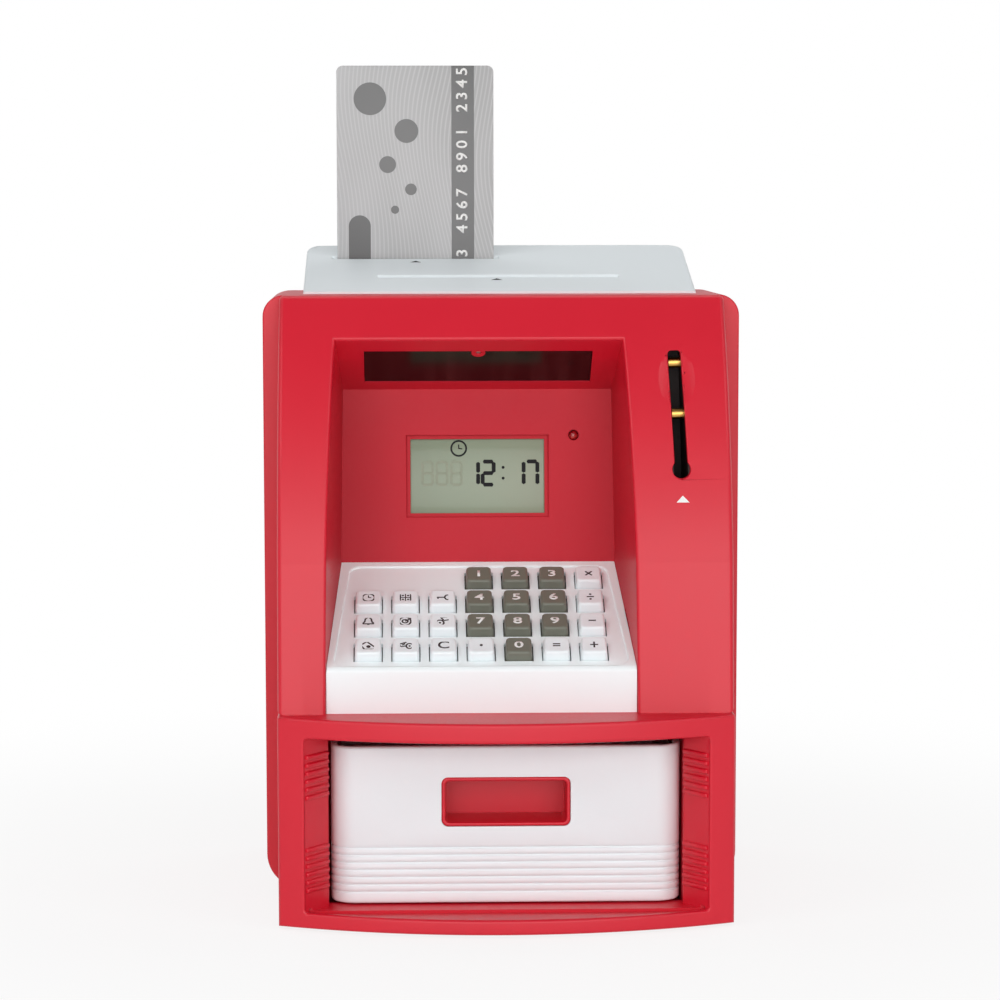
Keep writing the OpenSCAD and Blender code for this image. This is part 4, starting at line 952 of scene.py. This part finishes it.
def key_print(name, w):
    """The flat mark on one key, drawn about the key's middle in lines of a width."""
    if name in FIGURE_KEYS:
        return [figure(name[-1], 4.6, 0, 0.1, 1.35, 0.10)]
    if name == "key_times":
        return [bar(-1.1, -1.1, 1.1, 1.1, w), bar(-1.1, 1.1, 1.1, -1.1, w)]
    if name == "key_divide":
        return [bar(-1.2, 0, 1.2, 0, w), disc(0, 1.3, 0.42), disc(0, -1.3, 0.42)]
    if name == "key_minus":
        return [bar(-1.2, 0, 1.2, 0, w)]
    if name == "key_plus":
        return [bar(-1.3, 0, 1.3, 0, w), bar(0, -1.5, 0, 1.5, w)]
    if name == "key_equals":
        return [bar(-1.2, 0.5, 1.2, 0.5, w), bar(-1.2, -0.5, 1.2, -0.5, w)]
    if name == "key_point":
        return [disc(0, 0, 0.5)]
    if name == "key_clear":
        return [figure("C", 5.2, 0, 0, 1.1, 0.08)]
    if name == "key_clock":
        return [ring(0, 0, 2.0, w), bar(0, -0.1, 0, 1.2, w * 0.7), bar(-0.1, 0, 0.9, 0, w * 0.7)]
    if name == "key_sums":
        box = outline([(-1.7, -2.1), (1.7, -2.1), (1.7, 2.1), (-1.7, 2.1)], w)
        return box + [bar(-1.7, 0, 1.7, 0, w * 0.7), bar(0, -2.1, 0, 2.1, w * 0.7)] + \
            [disc(x, y, 0.42, 8) for x in (-0.85, 0.85) for y in (-1.05, 1.05)]
    if name == "key_code":
        return [ring(1.7, 0, 0.95, w, 1.25), bar(-2.6, 0, 0.8, 0, w), bar(-2.4, 0, -2.4, -0.9, w),
                bar(-1.5, 0, -1.5, -0.8, w)]
    if name == "key_alarm":
        return outline([(-2.0, -1.3), (2.0, -1.3), (1.2, -0.3), (0.9, 1.5), (0, 2.2),
                        (-0.9, 1.5), (-1.2, -0.3)], w) + [disc(0, -1.9, 0.45, 12)]
    if name == "key_target":
        return [ring(-0.2, 0, 1.9, w, 1.1), ring(-0.2, 0, 0.9, w), bar(-0.2, 0, 2.2, 2.0, w)]
    if name == "key_balance":
        return [ring(-1.0, -0.9, 1.25, w, 1.1), disc(-1.0, -0.9, 0.4, 12)] + \
            outline([(0.3, 0.3), (2.4, 0.8), (2.4, 2.2), (-0.7, 1.9)], w)
    if name == "key_deposit":
        return outline([(-2.4, 0.3), (-0.4, 2.1), (2.3, -1.0), (1.9, -1.9), (-1.2, -1.9)], w) + \
            [disc(0.1, -0.5, 0.7, 16)]
    return [ring(1.2, -0.3, 1.05, w, 1.2), bar(-2.4, 0.6, 0.2, 1.7, w),
            bar(-2.4, 0.6, -1.6, -0.6, w), bar(-1.6, -0.6, 0.2, -0.2, w),
            disc(1.2, -0.3, 0.4, 12), bar(-1.2, 0.3, -0.2, 0.9, w)]


class BANK_OT_keys(bpy.types.Operator):
    """Models one key, copies it to every place and prints each one's mark"""

    bl_idname = "bank.keys"
    bl_label = "Keys"

    def execute(self, context):
        made = finishes()
        sizes = context.scene.bank_sizes
        blank = key_blank(sizes.key_top, sizes.key_height)
        for k, name in enumerate(KEY_ORDER):
            row = 3 if k < 4 else 2 - (k - 4) // 7
            column = k + 3 if k < 4 else (k - 4) % 7
            spot = on_deck((column - 3) * KEY_PITCH[0], KEY_ROW + row * KEY_PITCH[1])
            pick(blank)
            bpy.ops.object.duplicate()
            key = bpy.context.active_object
            placed(key, spot)
            # The sign keys' white is a lighter copy of the white plastic, as painted light
            plastic, ink, print_slot = FIGURE_LOOK if name in FIGURE_KEYS else SIGN_LOOK
            dress(key, name + "_cap", name + "_cap", made[plastic], [name])
            mark = thickened(joined(key_print(name, sizes.ink)), 0.03)
            lift = Matrix.Translation(Vector((0, 0, sizes.key_height - 0.13)) * MM)
            placed(mark, spot @ lift)
            dress(mark, name + "_print", name + "_cap", made[ink])
        deselect()
        bpy.data.objects.remove(blank)
        return {"FINISHED"}


def segment(letter, width, height, line):
    """One bar of a seven segment figure, with pointed ends."""
    x, y = width / 2, height / 2
    ends = {"a": ((-x, y), (x, y)), "b": ((x, y), (x, 0)), "c": ((x, 0), (x, -y)),
            "d": ((-x, -y), (x, -y)), "e": ((-x, -y), (-x, 0)), "f": ((-x, 0), (-x, y)),
            "g": ((-x, 0), (x, 0))}[letter]
    (x0, y0), (x1, y1) = ends
    length = math.hypot(x1 - x0, y1 - y0)
    bpy.ops.mesh.primitive_circle_add(vertices=6, radius=line * 0.56 * MM, fill_type="NGON")
    piece = bpy.context.active_object
    settle(piece)
    pick(piece)
    bpy.ops.object.mode_set(mode="EDIT")
    mesh = bmesh.from_edit_mesh(piece.data)
    stretch = (length - line * 1.25) / 2
    for v in mesh.verts:
        if abs(v.co.y) > 0.1 * line * MM:
            v.co.y += math.copysign(stretch * MM, v.co.y)
    bmesh.update_edit_mesh(piece.data)
    bpy.ops.object.mode_set(mode="OBJECT")
    piece.rotation_euler = (0, 0, math.atan2(y1 - y0, x1 - x0) - math.pi / 2)
    piece.location = ((x0 + x1) / 2 * MM, (y0 + y1) / 2 * MM, 0)
    return settle(piece)


def seven(sign, x, y, width, height, line):
    """One seven segment figure of the screen."""
    piece = joined([segment(s, width, height, line) for s in SCREEN_FIGURES[sign]])
    piece.location = (x * MM, y * MM, 0)
    return settle(piece)


class BANK_OT_screen(bpy.types.Operator):
    """Models the liquid crystal panel with its figures and the lamp's lens"""

    bl_idname = "bank.screen"
    bl_label = "Screen and lamp"

    def execute(self, context):
        made = finishes()
        bpy.ops.mesh.primitive_cube_add(size=1, location=(0, 0, 0))
        glass = bpy.context.active_object
        wide, high, thick = 50.1, 30.6, 2.8
        glass.scale = (wide * MM, high * MM, thick * MM)
        settle(glass)
        bevel(glass, 0.3, lambda e: True, 2)
        placed(smooth(glass), on_screen(0, SCREEN_UP, -3.6))
        dress(glass, "screen_panel", "housing", made["glass"], ["lcd_panel"])
        # Four figures with a colon, under a small clock
        figure_up, figure_wide, figure_high, stroke = 1.0, 3.7, 7.7, 1.35
        marks = [seven(sign, x, figure_up, figure_wide, figure_high, stroke)
                 for sign, x in (("1", -1.6), ("2", 3.6), ("1", 13.6), ("7", 18.2))]
        marks += [disc(8.6, 2.9, 0.5), disc(8.6, -0.7, 0.5), ring(-6.2, 9.3, 2.5, 0.6),
                  bar(-6.2, 9.2, -6.2, 10.6, 0.4), bar(-6.3, 9.3, -5.0, 9.1, 0.4)]
        mark = joined(marks)
        placed(mark, on_screen(0, SCREEN_UP, -2.17))
        dress(mark, "screen_figures", "housing", made["black_ink"])
        # Three figures that are switched off, thinner and a little smaller
        resting = joined([seven("8", x, figure_up, 3.4, 7.6, 0.9) for x in (-16.6, -11.8, -7.0)])
        placed(resting, on_screen(0, SCREEN_UP, -2.19))
        dress(resting, "screen_resting", "housing", made["resting"])
        # A round head drawn out into a stem
        bpy.ops.mesh.primitive_uv_sphere_add(segments=24, ring_count=12, radius=1.55 * MM)
        lens = bpy.context.active_object
        settle(lens)
        edit(lens, "FACE", lambda f: f.calc_center_median().z < -0.2 * MM)
        bpy.ops.transform.translate(value=(0, 0, -3 * MM))
        bpy.ops.object.mode_set(mode="OBJECT")
        lens_x, lens_up, lens_out = 32.1, 42.0, -1.2
        placed(smooth(lens, 60), on_screen(lens_x, lens_up, lens_out))
        dress(lens, "lamp_lens", "housing", made["lamp"], ["led"])
        return {"FINISHED"}


class BANK_OT_card(bpy.types.Operator):
    """Models the bank card with raised plain figures"""

    bl_idname = "bank.card"
    bl_label = "Bank card"

    def execute(self, context):
        made = finishes()
        low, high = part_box("bank_card")
        bpy.ops.mesh.primitive_cube_add(size=1, location=(low + high) / 2)
        card = bpy.context.active_object
        card.scale = high - low
        settle(card)
        bevel(card, 2.2, lambda e: abs(e.verts[0].co.y - e.verts[1].co.y) > 0.4 * MM, 8)
        edit(card, "FACE", lambda f: abs(f.normal.y) > 0.9)
        bpy.ops.mesh.region_to_loop()
        bpy.ops.mesh.bevel(offset=0.12 * MM, segments=2, affect="EDGES", clamp_overlap=False)
        bpy.ops.object.mode_set(mode="OBJECT")
        dress(smooth(card), "card_blank", "card", made["card"], ["bank_card"])
        # Plain figures in four groups, read up the card
        pitch, first = 4.15, -33.9
        figures = [figure(sign, 5.4, -0.15, k * pitch + first, 1.05, 0.09, math.pi / 2)
                   for k, sign in enumerate("0123 4567 8901 2345") if sign != " "]
        raised = thickened(joined(figures), 0.12)
        front_y = 56.62
        placed(raised, Matrix.Translation(Vector((CARD_X + BAND_X, front_y, CARD_Z)) * MM)
               @ Matrix.Rotation(math.pi / 2, 4, "X"))
        dress(raised, "card_figures", "card", made["white_ink"])
        return {"FINISHED"}


class BANK_OT_coin(bpy.types.Operator):
    """Prints the pointer under the coin slot and gives the slot's inner pieces their finish"""

    bl_idname = "bank.coin"
    bl_label = "Coin slot"

    def execute(self, context):
        made = finishes()
        pointer_x, pointer_z = 57.0, 136.0
        mark = disc(0, 0, 2.1, 3)
        mark.scale = (1.15, 0.72, 1)
        settle(mark)
        spot = Vector((pointer_x, face_y(pointer_z) - 0.06, pointer_z))
        placed(mark, Matrix.Translation(spot * MM) @ face_turn(pointer_z))
        dress(mark, "coin_pointer", "housing", made["white_ink"])
        # The coin guide takes the painted shade of the slot's inside
        paint(made["slot_dark"], "coin_guide")
        # Sprung strips whose fronts curl back
        strips = copied("contacts")

        def rolled(edge):
            p = middle(edge)
            level = abs(edge.verts[0].co.x - edge.verts[1].co.x) > 2 * MM
            return level and p.x > 50 and p.z > 140 and p.y < face_y(p.z) + 6.5

        bevel(strips, 1.3, rolled, 4)
        dress(smooth(strips), "sprung_contacts", "housing", made["brass"], ["contacts"])
        return {"FINISHED"}


class BANK_OT_drawer(bpy.types.Operator):
    """Rounds the drawer and its red handle cup"""

    bl_idname = "bank.drawer"
    bl_label = "Drawer and handle"

    def execute(self, context):
        made = finishes()
        piece = copied("drawer")

        def front(p):
            return p.y < -49.8 or p.y < -41.5 and abs(p.x) > 48

        round_edges(piece, 0.9, lambda p: front(p) and (p.z > 57.5 or p.z < 6.6), 4)
        round_edges(piece, 0.26, lambda p: p.y < -41 and 9 < p.z < 27 and abs(p.x) < 60, 2)
        dress(smooth(piece), "drawer_tray", "drawer_unit", made["white"],
              ["drawer"])
        cup = copied("drawer_handle")
        round_edges(cup, 0.5, lambda p: p.y < -49.7)
        dress(smooth(cup), "handle_cup", "drawer_unit", made["red"],
              ["drawer_handle"])
        return {"FINISHED"}


class BANK_OT_works(bpy.types.Operator):
    """Gives the window, the feet and the inner works their finishes"""

    bl_idname = "bank.works"
    bl_label = "Window, feet and works"

    def execute(self, context):
        made = finishes()
        paint(made["window"], "bill_window")
        paint(made["board"], "main_board", "keypad_board")
        paint(made["grey_rubber"], "key_mat")
        paint(made["pale"], "card_guide", "feed_frame", "motor_pinion", "roller_gear", "bill_chute")
        paint(made["steel"], "feed_motor", "feed_shaft", "latch_lever", "fasteners")
        paint(made["rubber"], "feed_rollers", "rubber_feet")
        paint(made["dark"], "idler_rollers", "latch_bracket", "battery_box")
        paint(made["copper"], "latch_coil")
        paint(made["wire"], "eject_springs")
        paint(made["cells"], "batteries")
        paint(made["brass"], "sounder")
        return {"FINISHED"}


class BANK_OT_stage(bpy.types.Operator):
    """Sets the pale floor, the soft studio lamps and the camera"""

    bl_idname = "bank.stage"
    bl_label = "Stage"

    def execute(self, context):
        deselect()
        bpy.ops.mesh.primitive_plane_add(size=30, location=(0, 0, 0))
        floor = bpy.context.active_object
        floor.name = "floor"
        f = Finish("pale_floor")
        grain = f.noise(f.place(), 3.0, 2)
        base = f.mix((0.93, 0.93, 0.93), (0.95, 0.95, 0.95), grain)
        plain = f.node("ShaderNodeBsdfDiffuse", {}, {"Color": base})
        glow = f.node("ShaderNodeEmission", {}, {"Color": (1, 1, 1), "Strength": 1.0})
        axes = f.axes(f.place())
        # The floor keeps the bank's shadow near it and runs into the backdrop further out
        far = f.step(f.distance(axes[0], axes[1]), 0.10, 0.42, 0.84, 1.0)
        both = f.node("ShaderNodeMixShader", {}, {0: f.light_seen() * far, 1: plain, 2: glow})
        floor.data.materials.append(f.close(both))
        world = bpy.data.worlds.new("studio")
        context.scene.world = world
        sky = Finish("studio", world, "ShaderNodeOutputWorld")
        up = sky.axes(sky.node("ShaderNodeTexCoord", out="Generated"))[2]
        # White round the horizon, as the backdrop is, and dim overhead
        fall = sky.step(up, 0.10, 0.50, 1.0, 0.22)
        soft = sky.node("ShaderNodeBackground", {}, {"Color": (1, 1, 1), "Strength": fall * 0.30})
        clear = sky.node("ShaderNodeBackground", {}, {"Color": (1, 1, 1),
                                                      "Strength": fall.most(sky.camera_seen())})
        both = sky.node("ShaderNodeMixShader", {}, {0: sky.light_seen(), 1: soft, 2: clear})
        sky.close(both)
        for name, place, size, power in LAMPS:
            bpy.ops.object.light_add(type="AREA", location=place)
            lamp = bpy.context.active_object
            lamp.name = name
            lamp.data.shape = "RECTANGLE"
            lamp.data.size, lamp.data.size_y = size
            lamp.data.energy = power
            lamp.rotation_euler = (AIM - Vector(place)).to_track_quat("-Z", "Y").to_euler()
        bpy.ops.object.camera_add(location=CAMERA_PLACE, rotation=CAMERA_TURN)
        camera = bpy.context.active_object
        camera.name = "camera"
        camera.data.lens = 125.22
        camera.data.sensor_width = 36
        camera.data.shift_x = -0.0017
        camera.data.shift_y = 0.0435
        camera.data.clip_start = 0.05
        context.scene.camera = camera
        context.scene.view_settings.view_transform = "Standard"
        return {"FINISHED"}


OPERATORS = (BANK_OT_front, BANK_OT_surround, BANK_OT_shell, BANK_OT_cap, BANK_OT_deck,
             BANK_OT_keys, BANK_OT_screen, BANK_OT_card, BANK_OT_coin, BANK_OT_drawer,
             BANK_OT_works, BANK_OT_stage)


class BANK_PT_panel(bpy.types.Panel):
    """Lists the bank's settings and its pieces"""

    bl_label = "Cash Machine Bank"
    bl_idname = "BANK_PT_panel"
    bl_space_type = "VIEW_3D"
    bl_region_type = "UI"
    bl_category = "Bank"

    def draw(self, context):
        column = self.layout.column()
        for group in (context.scene.bank_colours, context.scene.bank_sizes):
            for key in group.__annotations__:
                column.prop(group, key)
        for operator in OPERATORS:
            column.operator(operator.bl_idname)


CLASSES = (BankColours, BankSizes, *OPERATORS, BANK_PT_panel)


def register():
    for item in CLASSES:
        bpy.utils.register_class(item)
    bpy.types.Scene.bank_colours = bpy.props.PointerProperty(type=BankColours)
    bpy.types.Scene.bank_sizes = bpy.props.PointerProperty(type=BankSizes)


def unregister():
    del bpy.types.Scene.bank_sizes
    del bpy.types.Scene.bank_colours
    for item in reversed(CLASSES):
        bpy.utils.unregister_class(item)


def main():
    register()
    bpy.ops.bank.front()
    bpy.ops.bank.surround()
    bpy.ops.bank.shell()
    bpy.ops.bank.cap()
    bpy.ops.bank.deck()
    bpy.ops.bank.keys()
    bpy.ops.bank.screen()
    bpy.ops.bank.card()
    bpy.ops.bank.coin()
    bpy.ops.bank.drawer()
    bpy.ops.bank.works()
    bpy.ops.bank.stage()
    deselect()


if __name__ == "__main__":
    main()
